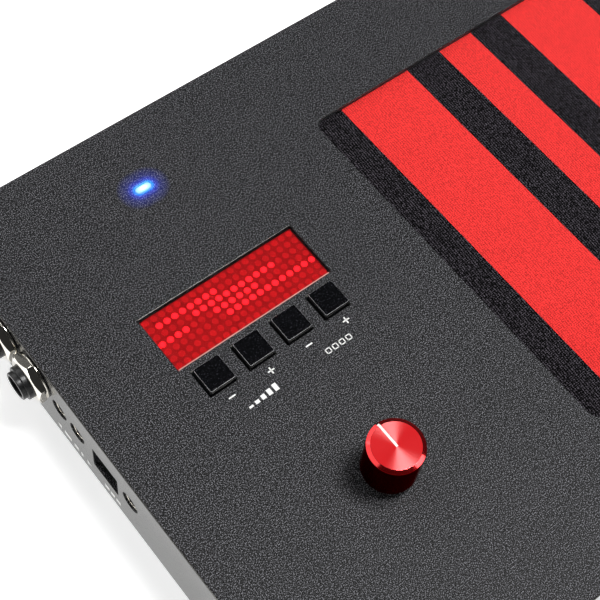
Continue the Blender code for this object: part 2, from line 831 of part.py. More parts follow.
# Turns a shape modelled along Z to point out of the left wall
OUT_OF_LEFT_WALL = (0, -math.pi / 2, 0)


def add_output_jacks(jack_mat, nut_mat):
    """Quarter-inch jacks fixed by hexagon nuts outside the wall, their heights along the bore."""
    front = -SHEET - GAP
    back = front - JACK_BODY_LENGTH
    nose = JACK_PROJECTION - JACK_NOSE_LENGTH
    body = rectangle(JACK_BODY_HEIGHT, JACK_BODY_WIDTH, BUTTON_CORNER, steps=5)
    barrel = on_circle(body, JACK_BARREL_RADIUS)
    tip = on_circle(body, JACK_NOSE_RADIUS)
    bore = on_circle(body, JACK_BORE_RADIUS)
    bm = bmesh.new()
    loft(
        bm,
        [
            (body, back),
            (body, front),
            (barrel, front),
            (barrel, nose),
            (tip, nose),
            (tip, JACK_PROJECTION),
            (bore, JACK_PROJECTION),
            (bore, back + JACK_FLOOR),
        ],
    )
    jack = finish_mesh("output_jack", bm)

    count = 24
    hole = circle(jack_hole_radius, count)
    washer = circle(NUT_WASHER_RADIUS, count)
    hexagon = polygon(6, NUT_FLATS, count)
    bm = bmesh.new()
    loft(
        bm,
        [
            (hole, GAP),
            (washer, GAP),
            (washer, GAP + NUT_WASHER_THICKNESS),
            (hexagon, GAP + NUT_WASHER_THICKNESS),
            (hexagon, NUT_THICKNESS - NUT_CHAMFER),
            (polygon(6, NUT_FLATS - 2 * NUT_CHAMFER, count), NUT_THICKNESS),
            (hole, NUT_THICKNESS),
        ],
        closed=True,
    )
    bmesh.ops.rotate(bm, matrix=Matrix.Rotation(NUT_TURN, 3, "Z"), verts=bm.verts)
    nut = finish_mesh("jack_nut", bm)
    for number, y in enumerate(jacks_y, 1):
        place = (left_x, y, jack_z)
        add_object(f"output_jack_{number}", jack, jack_mat, place, OUT_OF_LEFT_WALL)
        add_object(f"jack_nut_{number}", nut, nut_mat, place, OUT_OF_LEFT_WALL)


def add_mini_jacks(mat):
    front = -SHEET - GAP
    back = front - MINI_LENGTH
    high = MINI_NOSE_RADIUS + MINI_WALL
    low = main_board_top + GAP - mini_z
    body = rectangle(
        high - low, MINI_WIDTH, BUTTON_CORNER, steps=4, centre=((high + low) / 2, 0)
    )
    nose = on_circle(body, MINI_NOSE_RADIUS)
    bore = on_circle(body, MINI_BORE_RADIUS)
    bm = bmesh.new()
    loft(
        bm,
        [
            (body, back),
            (body, front),
            (nose, front),
            (nose, -MINI_NOSE_RECESS),
            (bore, -MINI_NOSE_RECESS),
            (bore, back + MINI_WALL),
        ],
    )
    mesh = finish_mesh("mini_jack", bm)
    for number, y in enumerate(minis_y, 1):
        add_object(f"mini_jack_{number}", mesh, mat, (left_x, y, mini_z), OUT_OF_LEFT_WALL)


def add_usb_socket(mat):
    """A square computer socket: a shell with its contact tongue standing in the mouth."""
    front = -SHEET - GAP
    floor = front - USB_MOUTH_DEPTH
    body = rectangle(USB_HEIGHT, USB_WIDTH, BUTTON_CORNER)
    mouth = rectangle(USB_MOUTH_HEIGHT, USB_MOUTH_WIDTH, 2 * BUTTON_CORNER)
    tongue = rectangle(USB_TONGUE_HEIGHT, USB_TONGUE_WIDTH, BUTTON_CORNER)
    bm = bmesh.new()
    loft(
        bm,
        [
            (body, front - USB_LENGTH),
            (body, front),
            (mouth, front),
            (mouth, floor),
            (tongue, floor),
            (tongue, floor + USB_TONGUE_LENGTH),
        ],
    )
    mesh = finish_mesh("usb_socket", bm)
    add_object("usb_socket", mesh, mat, (left_x, usb_y, usb_z), OUT_OF_LEFT_WALL)


def main():
    remove_objects()
    coated_steel = make_material("textured_black_coat", (0.045, 0.045, 0.048), 0.55)
    zinc_steel = make_material("zinc_plated_steel", (0.60, 0.60, 0.58), 0.35, 1.0)
    rubber = make_material("foot_rubber", (0.02, 0.02, 0.02), 0.8)
    fabric = make_material("red_knit_fabric", (0.75, 0.03, 0.025), 0.9)
    bar_aluminium = make_material("bar_aluminium", (0.78, 0.79, 0.80), 0.3, 1.0)
    rail_aluminium = make_material("rail_aluminium", (0.62, 0.63, 0.65), 0.4, 1.0)
    circuit_board = make_material("circuit_board", (0.02, 0.16, 0.07), 0.45)
    display_body = make_material("display_body", (0.10, 0.02, 0.02), 0.5)
    red_filter = make_material("red_filter", (0.55, 0.01, 0.015), 0.1)
    button_plastic = make_material("button_plastic", (0.015, 0.015, 0.017), 0.25)
    light_pipe = make_material("light_pipe", (0.25, 0.35, 1.0), 0.2)
    pot_metal = make_material("rotary_control_metal", (0.5, 0.5, 0.5), 0.4, 1.0)
    shaft_metal = make_material("shaft_steel", (0.7, 0.7, 0.7), 0.25, 1.0)
    red_anodised = make_material("red_anodised_aluminium", (0.72, 0.02, 0.03), 0.25, 1.0)
    jack_plastic = make_material("jack_plastic", (0.02, 0.02, 0.02), 0.35)
    nut_chrome = make_material("nut_chrome", (0.85, 0.85, 0.86), 0.12, 1.0)
    mini_nickel = make_material("mini_jack_nickel", (0.75, 0.74, 0.70), 0.25, 1.0)
    usb_shell = make_material("usb_socket_shell", (0.06, 0.06, 0.06), 0.4)

    add_top_cover(coated_steel)
    add_bottom_plate(zinc_steel)
    add_feet(rubber)
    add_playing_surface(fabric)
    add_sensing_bars(bar_aluminium)
    add_spring_rails(rail_aluminium)
    add_sensor_boards(circuit_board)
    add_main_board(circuit_board)
    add_control_board(circuit_board)
    add_display(display_body, red_filter)
    add_button_caps(button_plastic)
    add_status_light(light_pipe)
    add_rotary_control(pot_metal, shaft_metal, red_anodised)
    add_output_jacks(jack_plastic, nut_chrome)
    add_mini_jacks(mini_nickel)
    add_usb_socket(usb_shell)


main()
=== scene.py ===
"""Looks of the electronic fingerboard controller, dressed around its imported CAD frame.

Metres, +Z up, +X along the case from the socket end, +Y to its rear edge. Every finished piece has its
object at the origin and its place in its mesh, as the CAD nodes have.
"""

import math

import bmesh
import bpy
from bpy.props import FloatProperty, FloatVectorProperty, IntProperty, PointerProperty
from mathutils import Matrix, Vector


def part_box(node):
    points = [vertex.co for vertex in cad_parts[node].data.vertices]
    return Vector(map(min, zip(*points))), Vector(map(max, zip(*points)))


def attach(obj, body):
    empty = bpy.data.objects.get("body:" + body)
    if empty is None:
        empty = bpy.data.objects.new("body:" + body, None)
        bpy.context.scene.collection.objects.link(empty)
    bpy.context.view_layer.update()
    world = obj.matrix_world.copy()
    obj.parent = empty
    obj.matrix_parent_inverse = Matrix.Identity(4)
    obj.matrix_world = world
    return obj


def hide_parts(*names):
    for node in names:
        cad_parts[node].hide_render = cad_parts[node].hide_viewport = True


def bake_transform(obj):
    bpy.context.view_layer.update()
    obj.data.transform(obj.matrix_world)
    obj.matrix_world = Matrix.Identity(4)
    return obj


bl_info = {
    "name": "Electronic fingerboard controller", "version": (1, 0, 0), "blender": (4, 5, 0),
    "location": "View3D > Sidebar > Fingerboard",
    "description": "Builds the looks of an electronic fingerboard controller around its CAD frame",
    "category": "Object",
}

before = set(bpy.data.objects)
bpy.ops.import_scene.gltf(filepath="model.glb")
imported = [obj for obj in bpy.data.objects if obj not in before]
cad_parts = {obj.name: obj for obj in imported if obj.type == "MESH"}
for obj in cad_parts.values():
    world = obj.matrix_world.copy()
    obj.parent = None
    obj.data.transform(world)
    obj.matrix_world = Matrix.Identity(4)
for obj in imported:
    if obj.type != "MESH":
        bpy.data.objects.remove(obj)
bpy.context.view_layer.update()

MM = 0.001

# Places that the CAD frame gives
cover_low, cover_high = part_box("top_cover")
pad_low, pad_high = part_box("playing_surface")
filter_low, filter_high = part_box("display_filter")
display_low, display_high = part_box("dot_matrix_display")
light_low, light_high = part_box("status_light_pipe")
knob_low, knob_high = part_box("knob")
PANEL_TOP = cover_high.z
LEFT_X = cover_low.x
COLUMN_X = (filter_low.x + filter_high.x) / 2

# Sizes that the CAD source gives and that the frame's boxes don't show
SHEET = 1.5 * MM
PANEL_UNDER = PANEL_TOP - SHEET
HOLE_GAP = 0.3 * MM
PAD_TUCK = 2.35 * MM
OPENING_CORNER = 3.6 * MM
BUTTONS = 4
BUTTON_LIP = 1.2 * MM
BUTTON_SIZE = 8.2 * MM
BUTTON_HOLE = 8.8 * MM
LIGHT_LENGTH = 5.0 * MM
LIGHT_WIDTH = 2.2 * MM
LIGHT_COLLAR = 1.0 * MM
JACK_HOLE_RADIUS = 5.25 * MM
MINI_HOLE_RADIUS = 3.2 * MM
MINI_BORE_FROM_TOP = 3.4 * MM
BUSHING_HOLE_RADIUS = 3.8 * MM
NUT_TURN = math.radians(23)
USB_CUTOUT = (10.0 * MM, 11.0 * MM)
HALF_STEPS = 29
HALF_STEP = (pad_high.x - pad_low.x) / HALF_STEPS
OCTAVE = 12
BLACK_STEPS = (0, 3, 5, 8, 10)
DOT_PITCH = 2.54 * MM
DOT_COLUMNS = 20
DOT_ROWS = 7
DISPLAY_MODULES = 4
STUD_RADIUS = 1.75 * MM
STUDS = (
    (COLUMN_X - 23.0 * MM, -1.75 * MM), (COLUMN_X + 23.0 * MM, -1.75 * MM),
    (COLUMN_X - 23.0 * MM, -43.15 * MM), (COLUMN_X + 23.0 * MM, -43.15 * MM), (COLUMN_X, 52.4 * MM),
)

# Sizes and places that only the looks have
SPILL_REACH = 6.5 * MM
CASE_SCREWS_X = (-0.222, -0.112, 0.003, 0.118, 0.228)
CASE_SCREW_RISE = 4 * MM
LEVEL_STEPS_X = -210.35 * MM
SLOTS_X = -184.85 * MM
SIGNS_Y = 3.08 * MM
WORDS_Y = -1.3 * MM
WALL_PRINT_RISE = 6.6 * MM

# Turns a piece modelled along Z to point out of the left wall
OUT_OF_WALL = (0, -math.pi / 2, 0)


def linear(code):
    """An sRGB hex colour as linear red, green and blue."""
    channels = [int(code[i : i + 2], 16) / 255 for i in (0, 2, 4)]
    return tuple(c / 12.92 if c <= 0.04045 else ((c + 0.055) / 1.055) ** 2.4 for c in channels)


def with_alpha(colour):
    return (*colour, 1.0)


class FingerboardSizes(bpy.types.PropertyGroup):
    """Sizes of the looks that a user would change."""

    fold_radius: FloatProperty(
        name="Fold radius", description="Outside radius of the sheet's folds", default=0.6 * MM,
        unit="LENGTH",
    )
    hole_edge: FloatProperty(
        name="Hole edge", description="Rounding of the edges of the holes in the sheet", default=0.16 * MM,
        unit="LENGTH",
    )
    coat_grain: FloatProperty(
        name="Coat grain", description="Width of one grain of the textured coat", default=0.3 * MM,
        unit="LENGTH",
    )
    wale_pitch: FloatProperty(
        name="Wale pitch", description="Distance between two ribs of the knit fabric", default=0.76 * MM,
        unit="LENGTH",
    )
    course_pitch: FloatProperty(
        name="Course pitch", description="Distance between two rows of stitches along a rib",
        default=0.54 * MM, unit="LENGTH",
    )
    dot_radius: FloatProperty(
        name="Dot radius", description="Radius of one dot of the display", default=0.95 * MM, unit="LENGTH"
    )
    button_edge: FloatProperty(
        name="Button edge", description="Width of the bevel round the buttons' tops", default=0.32 * MM,
        unit="LENGTH",
    )
    knob_sides: IntProperty(
        name="Knob sides", description="Number of sides of the knob's round faces", default=96, min=24
    )


class FingerboardColours(bpy.types.PropertyGroup):
    """Colours of the looks that a user would change."""

    coat: FloatVectorProperty(
        name="Coat", description="Ground colour of the textured coat", default=linear("29292B"),
        subtype="COLOR",
    )
    red_knit: FloatVectorProperty(
        name="Red fabric", description="Colour of the red stripes", default=linear("E03230"),
        subtype="COLOR",
    )
    black_knit: FloatVectorProperty(
        name="Black fabric", description="Colour of the black stripes", default=linear("1B191C"),
        subtype="COLOR",
    )
    knob: FloatVectorProperty(
        name="Knob", description="Colour of the anodised knob", default=linear("E81C22"), subtype="COLOR"
    )
    lit_dot: FloatVectorProperty(
        name="Lit dot", description="Colour of a lit dot of the display", default=linear("FF5064"),
        subtype="COLOR",
    )
    status_light: FloatVectorProperty(
        name="Status light", description="Colour of the status light's glow", default=linear("2A4CFF"),
        subtype="COLOR",
    )


def sizes():
    return bpy.context.scene.fingerboard_sizes


def colours():
    return bpy.context.scene.fingerboard_colours


def add_node(tree, kind, output, inputs=None, stops=None, **settings):
    """Adds a node and gives its output. An input is a value or an output, a stop is (place, colour)."""
    node = tree.nodes.new("ShaderNode" + kind)
    for key, value in settings.items():
        setattr(node, key, value)
    for key, value in (inputs or {}).items():
        if isinstance(value, bpy.types.NodeSocket):
            tree.links.new(value, node.inputs[key])
        else:
            node.inputs[key].default_value = value
    for number, (place_on_ramp, colour) in enumerate(stops or []):
        elements = node.color_ramp.elements
        element = elements[number] if number < 2 else elements.new(place_on_ramp)
        element.position = place_on_ramp
        element.color = with_alpha(colour)
    return node.outputs[output]


def begin_material(name, colour, roughness, **sockets):
    """A material with its node tree, its shader and the object coordinates that its patterns read."""
    material = bpy.data.materials.new(name)
    material.use_nodes = True
    tree = material.node_tree
    shader = tree.nodes["Principled BSDF"]
    shader.inputs["Base Color"].default_value = with_alpha(colour)
    shader.inputs["Roughness"].default_value = roughness
    for key, value in sockets.items():
        shader.inputs[key.replace("_", " ")].default_value = value
    at = add_node(tree, "TexCoord", "Object")
    return material, tree, shader, at


def surface(tree, shader, pattern, stops, strength, depth):
    """Gives a surface a pattern, in the stops' tones and as a relief. depth is in millimetres."""
    tones = add_node(tree, "ValToRGB", "Color", {"Fac": pattern}, stops)
    tree.links.new(tones, shader.inputs["Base Color"])
    inputs = {"Height": pattern, "Strength": strength, "Distance": depth * MM}
    tree.links.new(add_node(tree, "Bump", "Normal", inputs), shader.inputs["Normal"])


def powder_coat(name, roughness, specular, relief, painted_glint, **sockets):
    """Textured polyester powder coat on steel: a charcoal ground full of grains of random tone, the
    brightest painted in as glints.
    """
    ground = Vector(colours().coat)
    material, tree, shader, at = begin_material(
        name, ground, roughness, Specular_IOR_Level=specular, **sockets
    )
    grains = add_node(
        tree, "TexNoise", "Fac",
        {"Vector": at, "Scale": 1 / sizes().coat_grain, "Detail": 1.0, "Roughness": 0.5},
    )
    # The brightest grains are painted glints, scaled by painted_glint; the darker ones are random tone
    stops = [
        (0.43, ground * 0.02), (0.65, ground * 9.0 * painted_glint), (0.52, ground * 0.3),
        (0.58, ground * 3.0 * painted_glint),
    ]
    surface(tree, shader, grains, stops, relief, 0.12)
    # Painted light: the status light's spill, painted onto the coat as a glow, pale blue at the pipe's rim,
    # deep blue further out
    place_of_light = (*middle("status_light_pipe").xy, PANEL_TOP)
    apart = at
    for operation, value in (
        ("SUBTRACT", place_of_light), ("ABSOLUTE", (0, 0, 0)),
        ("SUBTRACT", ((LIGHT_LENGTH - LIGHT_WIDTH) / 2, 0, 0)), ("MAXIMUM", (0, 0, 0)),
    ):
        apart = add_node(tree, "VectorMath", "Vector", {0: apart, 1: value}, operation=operation)
    apart = add_node(tree, "VectorMath", "Value", {0: apart}, operation="LENGTH")
    fall = add_node(
        tree, "MapRange", "Result", {"Value": apart, "From Min": LIGHT_WIDTH / 2, "From Max": SPILL_REACH}
    )
    deep = Vector(colours().status_light)
    stops = [
        (0.0, linear("44CCFF")), (1.0, deep * 0.0), (0.1, linear("2878E0")), (0.2, deep * 0.42),
        (0.45, deep * 0.12),
    ]
    glow = add_node(tree, "ValToRGB", "Color", {"Fac": fall}, stops)
    tree.links.new(glow, shader.inputs["Emission Color"])
    painted_spill = add_node(tree, "Math", "Value", {0: grains, 1: 2.4}, operation="MULTIPLY")
    tree.links.new(painted_spill, shader.inputs["Emission Strength"])
    return material


def knit(name, colour, sheen, tones):
    """Polyester jersey knit: fine ribs along the stripes, rows of stitches across them, fibres of random
    tone; on the black knit the brightest fibres are painted glints.
    """
    colour = Vector(colour)
    material, tree, shader, at = begin_material(
        name, colour, 0.9, Sheen_Weight=sheen, Specular_IOR_Level=0.05
    )
    slant = (0, 0, math.radians(4))
    turned = add_node(tree, "Mapping", "Vector", {"Vector": at, "Rotation": slant})
    # A wave texture has one band every 2 pi / 20 at scale 1
    band = 2 * math.pi / 20
    waves = []
    for vector, pitch, wander, axis in (
        (turned, sizes().wale_pitch, 0.8, "X"), (at, sizes().course_pitch, 1.2, "Y")
    ):
        inputs = {"Vector": vector, "Scale": band / pitch, "Distortion": wander, "Detail": 2.0}
        waves.append(add_node(tree, "TexWave", "Fac", inputs, bands_direction=axis))
    ribs, rows = waves
    loops = add_node(tree, "Mix", 0, {0: 0.4, 2: ribs, 3: rows}, data_type="FLOAT")
    fibres = add_node(tree, "TexNoise", "Fac", {"Vector": at, "Scale": 1 / (0.34 * MM), "Detail": 1.0})
    height = add_node(tree, "Mix", 0, {0: 0.74, 2: loops, 3: fibres}, data_type="FLOAT")
    stops = [(place_on_ramp, colour * factor) for place_on_ramp, factor in tones]
    surface(tree, shader, height, stops, 1.0, 0.15)
    return material


# Most of a noise's values lie in this range
NOISE_RANGE = {"From Min": 0.3, "From Max": 0.7}


def mottled(name, colour, roughness, grain, depth, tone=0.2, strength=0.3, **sockets):
    """A plain finish, finely mottled in colour, gloss and surface. grain and depth are in millimetres."""
    colour = Vector(colour)
    material, tree, shader, at = begin_material(name, colour, roughness, **sockets)
    mottle = add_node(
        tree, "TexNoise", "Fac", {"Vector": at, "Scale": 1 / (grain * MM), "Detail": 4.0, "Roughness": 0.6}
    )
    stops = [(0.3, colour * (1 - tone)), (0.7, colour * (1 + tone))]
    surface(tree, shader, mottle, stops, strength, depth)
    ends = {"To Min": roughness * 0.8, "To Max": min(1.0, roughness * 1.2)}
    gloss = add_node(tree, "MapRange", "Result", {"Value": mottle, **NOISE_RANGE, **ends})
    tree.links.new(gloss, shader.inputs["Roughness"])
    return material


def lined(name, colour, roughness, stretch, line, **sockets):
    """Metal with fine lines one way, as extrusion or turning leaves them. line is in millimetres."""
    colour = Vector(colour)
    material, tree, shader, at = begin_material(name, colour, roughness, Metallic=1.0, **sockets)
    squeezed = add_node(tree, "Mapping", "Vector", {"Vector": at, "Scale": stretch})
    lines = add_node(tree, "TexNoise", "Fac", {"Vector": squeezed, "Scale": 1 / (line * MM), "Detail": 3.0})
    surface(tree, shader, lines, [(0.3, colour * 0.8), (0.7, colour * 1.1)], 0.25, 0.02)
    return material


def circuit_board(name, level):
    """Glass-epoxy board under green solder mask: copper tracks show paler, what stands higher is black."""
    mask = Vector(linear("0E5A2C"))
    material, tree, shader, at = begin_material(name, mask, 0.35)
    tracks = add_node(
        tree, "TexBrick", "Color",
        {
            "Vector": at, "Color1": with_alpha(mask), "Color2": with_alpha(mask * 0.8),
            "Mortar": with_alpha(mask * 2.2), "Scale": 1.0, "Mortar Size": 0.15 * MM, "Brick Width": 7 * MM,
            "Row Height": 1.2 * MM,
        },
        offset=0.37,
    )
    chips = with_alpha(linear("141416"))
    height = add_node(tree, "SeparateXYZ", "Z", {"Vector": at})
    over = add_node(tree, "Math", "Value", {0: height, 1: level}, operation="GREATER_THAN")
    mixed = add_node(tree, "Mix", 2, {0: over, 6: tracks, 7: chips}, data_type="RGBA")
    tree.links.new(mixed, shader.inputs["Base Color"])
    return material


def glowing(name, colour, strength, grain, corner=None):
    """Tinted resin that glows a little unevenly over its face: a lit dot is lit from inside, elsewhere the
    glow is painted light. grain is in millimetres.

    Dots that stand on a square grid from corner fade from the middle to the rim.
    """
    tone = 0.12
    material, tree, shader, at = begin_material(name, colour, 0.4)
    mottle = add_node(tree, "TexNoise", "Fac", {"Vector": at, "Scale": 1 / (grain * MM), "Detail": 2.0})
    ends = {"To Min": strength * (1 - tone), "To Max": strength * (1 + tone)}
    glow = add_node(tree, "MapRange", "Result", {"Value": mottle, **NOISE_RANGE, **ends})
    if corner:
        within = at
        for operation, value in (
            ("SUBTRACT", corner), ("MULTIPLY", (1 / DOT_PITCH, 1 / DOT_PITCH, 0)), ("FRACTION", (0, 0, 0))
        ):
            within = add_node(tree, "VectorMath", "Vector", {0: within, 1: value}, operation=operation)
        middles = {0: within, 1: (0.5, 0.5, 0)}
        apart = add_node(tree, "VectorMath", "Value", middles, operation="DISTANCE")
        ends = {"From Min": 0.1, "From Max": 0.4, "To Min": 1.0, "To Max": 0.5}
        fade = add_node(tree, "MapRange", "Result", {"Value": apart, **ends})
        glow = add_node(tree, "Math", "Value", {0: glow, 1: fade}, operation="MULTIPLY")
    shader.inputs["Emission Color"].default_value = with_alpha(colour)
    tree.links.new(glow, shader.inputs["Emission Strength"])
    return material


def deselect():
    bpy.ops.object.select_all(action="DESELECT")


def select_only(obj):
    deselect()
    bpy.context.view_layer.objects.active = obj
    obj.select_set(True)


def edit(obj):
    select_only(obj)
    bpy.ops.object.mode_set(mode="EDIT")


def object_mode():
    bpy.ops.object.mode_set(mode="OBJECT")


def new_piece(name):
    obj = bpy.context.object
    obj.name = name
    obj.data.name = name
    return obj


def settle(obj):
    """Puts the piece's place in its mesh and its object at the origin."""
    select_only(obj)
    bpy.ops.object.transform_apply(location=True, rotation=True, scale=True)
    return obj


def place(obj, location, rotation=(0, 0, 0)):
    obj.location = location
    obj.rotation_euler = rotation
    return settle(obj)


def pick_faces(obj, test):
    """Selects only the faces whose centre and normal pass test, in edit mode."""
    bpy.ops.mesh.select_mode(type="FACE")
    mesh = bmesh.from_edit_mesh(obj.data)
    mesh.normal_update()
    for face in mesh.faces:
        face.select_set(test(face.calc_center_median(), face.normal))
    bmesh.update_edit_mesh(obj.data)


def coat_faces(obj, slot, test):
    """Gives the faces whose centre and normal pass test the material of that slot."""
    edit(obj)
    pick_faces(obj, test)
    obj.active_material_index = slot
    bpy.ops.object.material_slot_assign()
    object_mode()


def pick_edges(obj, test):
    """Selects only the edges whose two ends pass test, in edit mode."""
    bpy.ops.mesh.select_mode(type="EDGE")
    mesh = bmesh.from_edit_mesh(obj.data)
    for edge in mesh.edges:
        edge.select_set(test(edge.verts[0].co, edge.verts[1].co))
    bmesh.update_edit_mesh(obj.data)


def climb(sections):
    """Extrudes what is selected to each further section, (width, depth, height), about the Z axis."""
    width, depth, height = sections[0]
    for next_width, next_depth, next_height in sections[1:]:
        bpy.ops.mesh.extrude_region_move(TRANSFORM_OT_translate={"value": (0, 0, next_height - height)})
        growth = (next_width / width, next_depth / depth, 1)
        bpy.ops.transform.resize(value=growth, center_override=(0, 0, 0))
        width, depth, height = next_width, next_depth, next_height


def close_up():
    bpy.ops.mesh.select_all(action="SELECT")
    bpy.ops.mesh.remove_doubles(threshold=0.001 * MM)
    bpy.ops.mesh.normals_make_consistent(inside=False)


def turned_piece(name, sides, sections, through=False, phase=0.0):
    """A round or many-sided piece raised ring by ring from (radius, height) sections."""
    deselect()
    radius, height = sections[0]
    bpy.ops.mesh.primitive_circle_add(
        vertices=sides, radius=radius, fill_type="NOTHING" if through else "NGON", location=(0, 0, height),
        rotation=(0, 0, phase),
    )
    obj = settle(new_piece(name))
    edit(obj)
    bpy.ops.mesh.select_mode(type="VERT")
    bpy.ops.mesh.select_all(action="SELECT")
    rings = [(r, r, z) for r, z in sections]
    climb(rings + rings[:1] if through else rings)
    close_up()
    object_mode()
    return obj


def square_piece(name, corner, segments, sections):
    """A piece with round corners raised from (width, depth, height) sections about the Z axis."""
    deselect()
    width, depth, height = sections[0]
    bpy.ops.mesh.primitive_plane_add(size=1, location=(0, 0, height))
    obj = new_piece(name)
    obj.scale = (width, depth, 1)
    settle(obj)
    edit(obj)
    bpy.ops.mesh.select_all(action="SELECT")
    if corner:
        bpy.ops.mesh.bevel(offset=corner, segments=segments, affect="VERTICES")
        bpy.ops.mesh.select_all(action="SELECT")
    climb(sections)
    close_up()
    object_mode()
    return obj


def block(name, low, high):
    """A box between two corners, at its place."""
    deselect()
    low = Vector(low)
    high = Vector(high)
    bpy.ops.mesh.primitive_cube_add(size=1, location=(low + high) / 2)
    obj = new_piece(name)
    obj.scale = high - low
    return settle(obj)


def copy_of(obj, name):
    new = obj.copy()
    new.data = obj.data.copy()
    new.name = name
    new.data.name = name
    bpy.context.scene.collection.objects.link(new)
    return new


def join(objects, name):
    select_only(objects[0])
    for obj in objects:
        obj.select_set(True)
    bpy.ops.object.join()
    return new_piece(name)


def apply_modifier(obj, kind, **settings):
    select_only(obj)
    modifier = obj.modifiers.new(kind, kind)
    for key, value in settings.items():
        setattr(modifier, key, value)
    bpy.ops.object.modifier_apply(modifier=modifier.name)


def cut(obj, cutter, operation="DIFFERENCE"):
    apply_modifier(obj, "BOOLEAN", operation=operation, object=cutter, solver="EXACT")
    bpy.data.objects.remove(cutter)


def soften(obj, width, segments=2, angle=40):
    """Rounds the sharp edges of a piece."""
    apply_modifier(
        obj, "BEVEL", width=width, segments=segments, limit_method="ANGLE", angle_limit=math.radians(angle)
    )


def smooth(obj, angle=35, weighted=True):
    select_only(obj)
    bpy.ops.object.shade_smooth_by_angle(angle=math.radians(angle))
    if weighted:
        apply_modifier(obj, "WEIGHTED_NORMAL", keep_sharp=True, weight=50)
    return obj


def dress(obj, body, slot, *materials):
    """Gives a finished piece its materials and the body that it moves with. The slot argument is not used.
    """
    obj.data.materials.clear()
    for material in materials:
        obj.data.materials.append(material)
    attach(obj, body)
    return obj


def dress_node(node, material):
    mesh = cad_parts[node].data
    mesh.materials.clear()
    mesh.materials.append(material)


def middle(node):
    low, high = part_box(node)
    return (low + high) / 2


def hole_sections():
    """How far a hole widens at heights about the sheet's face, so that its edge comes out rounded."""
    edge = sizes().hole_edge
    return [
        (0.0, -2 * SHEET), (0.0, -edge), (0.29 * edge, -0.29 * edge), (1.6 * edge, 0.25 * edge),
        (1.6 * edge, 6 * edge),
    ]


def round_cutter(radius, at, turn=(0, 0, 0)):
    """A cutter for a round hole that goes down from the sheet's face."""
    sections = [(radius + out, height) for out, height in hole_sections()]
    return place(turned_piece("cutter", 48, sections), at, turn)


def square_cutter(width, depth, corner, at, turn=(0, 0, 0)):
    sections = [(width + 2 * out, depth + 2 * out, height) for out, height in hole_sections()]
    return place(square_piece("cutter", corner, 6, sections), at, turn)


def mini_jack_place(number):
    """Y and Z of a miniature jack's bore."""
    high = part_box(f"mini_jack_{number}")[1]
    return middle(f"mini_jack_{number}").y, high.z - MINI_BORE_FROM_TOP


class AddCover(bpy.types.Operator):
    """Adds the folded cover with its holes, its studs and its textured coat"""

    bl_idname = "fingerboard.add_cover"
    bl_label = "Cover"

    def execute(self, context):
        centre = (cover_low + cover_high) / 2
        half_way = centre.z
        reach = (cover_high - cover_low) / 2 - Vector((SHEET, SHEET, 0)) / 2

        def on_outside(at):
            return abs(at.x - centre.x) > reach.x or abs(at.y - centre.y) > reach.y

        cover = block("case_cover", cover_low, cover_high)
        edit(cover)
        pick_faces(cover, lambda at, normal: normal.z < -0.9)
        bpy.ops.mesh.delete(type="FACE")
        object_mode()
        apply_modifier(cover, "SOLIDIFY", thickness=SHEET, offset=-1, use_even_offset=True)
        edit(cover)
        pick_edges(cover, lambda a, b: on_outside(a) and on_outside(b) and max(a.z, b.z) > half_way)
        bpy.ops.mesh.bevel(offset=sizes().fold_radius, segments=5, profile=0.5, affect="EDGES")
        close_up()
        object_mode()

        pad = pad_high - pad_low
        window = filter_high - filter_low
        gaps = 2 * HOLE_GAP
        on_panel = [
            ("playing_surface", pad.x - 2 * PAD_TUCK, pad.y - 2 * PAD_TUCK, OPENING_CORNER),
            ("display_filter", window.x + gaps, window.y + gaps, 0.3 * MM),
            ("status_light_pipe", LIGHT_LENGTH + gaps, LIGHT_WIDTH + gaps, 1.3 * MM),
        ]
        for number in range(1, BUTTONS + 1):
            on_panel.append((f"button_cap_{number}", BUTTON_HOLE, BUTTON_HOLE, 0.4 * MM))
        cutters = [
            square_cutter(width, depth, corner, (*middle(node).xy, PANEL_TOP))
            for node, width, depth, corner in on_panel
        ]
        cutters.append(round_cutter(BUSHING_HOLE_RADIUS, (*middle("knob").xy, PANEL_TOP)))
        for number in (1, 2):
            at = (LEFT_X, *middle(f"jack_nut_{number}").yz)
            cutters.append(round_cutter(JACK_HOLE_RADIUS, at, OUT_OF_WALL))
        for number in (1, 2, 3):
            at = (LEFT_X, *mini_jack_place(number))
            cutters.append(round_cutter(MINI_HOLE_RADIUS, at, OUT_OF_WALL))
        at = (LEFT_X, *middle("usb_socket").yz)
        cutters.append(square_cutter(*USB_CUTOUT, 0.3 * MM, at, OUT_OF_WALL))
        cut(cover, join(cutters, "cutters"))
        smooth(cover, 40)
        coat = powder_coat("textured_powder_coat", 0.4, 0.14, 1.0, 1.0)
        # On the folds and the upright walls the coat lies smoother, and mirrors the white table when
        # it is seen along the wall
        flowed = powder_coat(
            "smooth_flowed_powder_coat", 0.22, 0.66, 0.12, 0.4, Specular_Tint=(1.0, 0.98, 0.89, 1.0)
        )
        dress(cover, "case", "textured_black_coat", coat, flowed)
        near_top = PANEL_TOP - 0.2 * MM
        coat_faces(cover, 1, lambda at, normal: normal.z < 0.97 and (on_outside(at) or at.z > near_top))
        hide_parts("top_cover")

        ends = [(STUD_RADIUS, display_low.z), (STUD_RADIUS, PANEL_UNDER + HOLE_GAP)]
        for number, (x, y) in enumerate(STUDS, 1):
            stud = turned_piece(f"control_board_stud_{number}", 6, ends)
            soften(stud, 0.15 * MM)
            dress(place(smooth(stud), (x, y, 0)), "case", "textured_black_coat", coat)
        return {"FINISHED"}


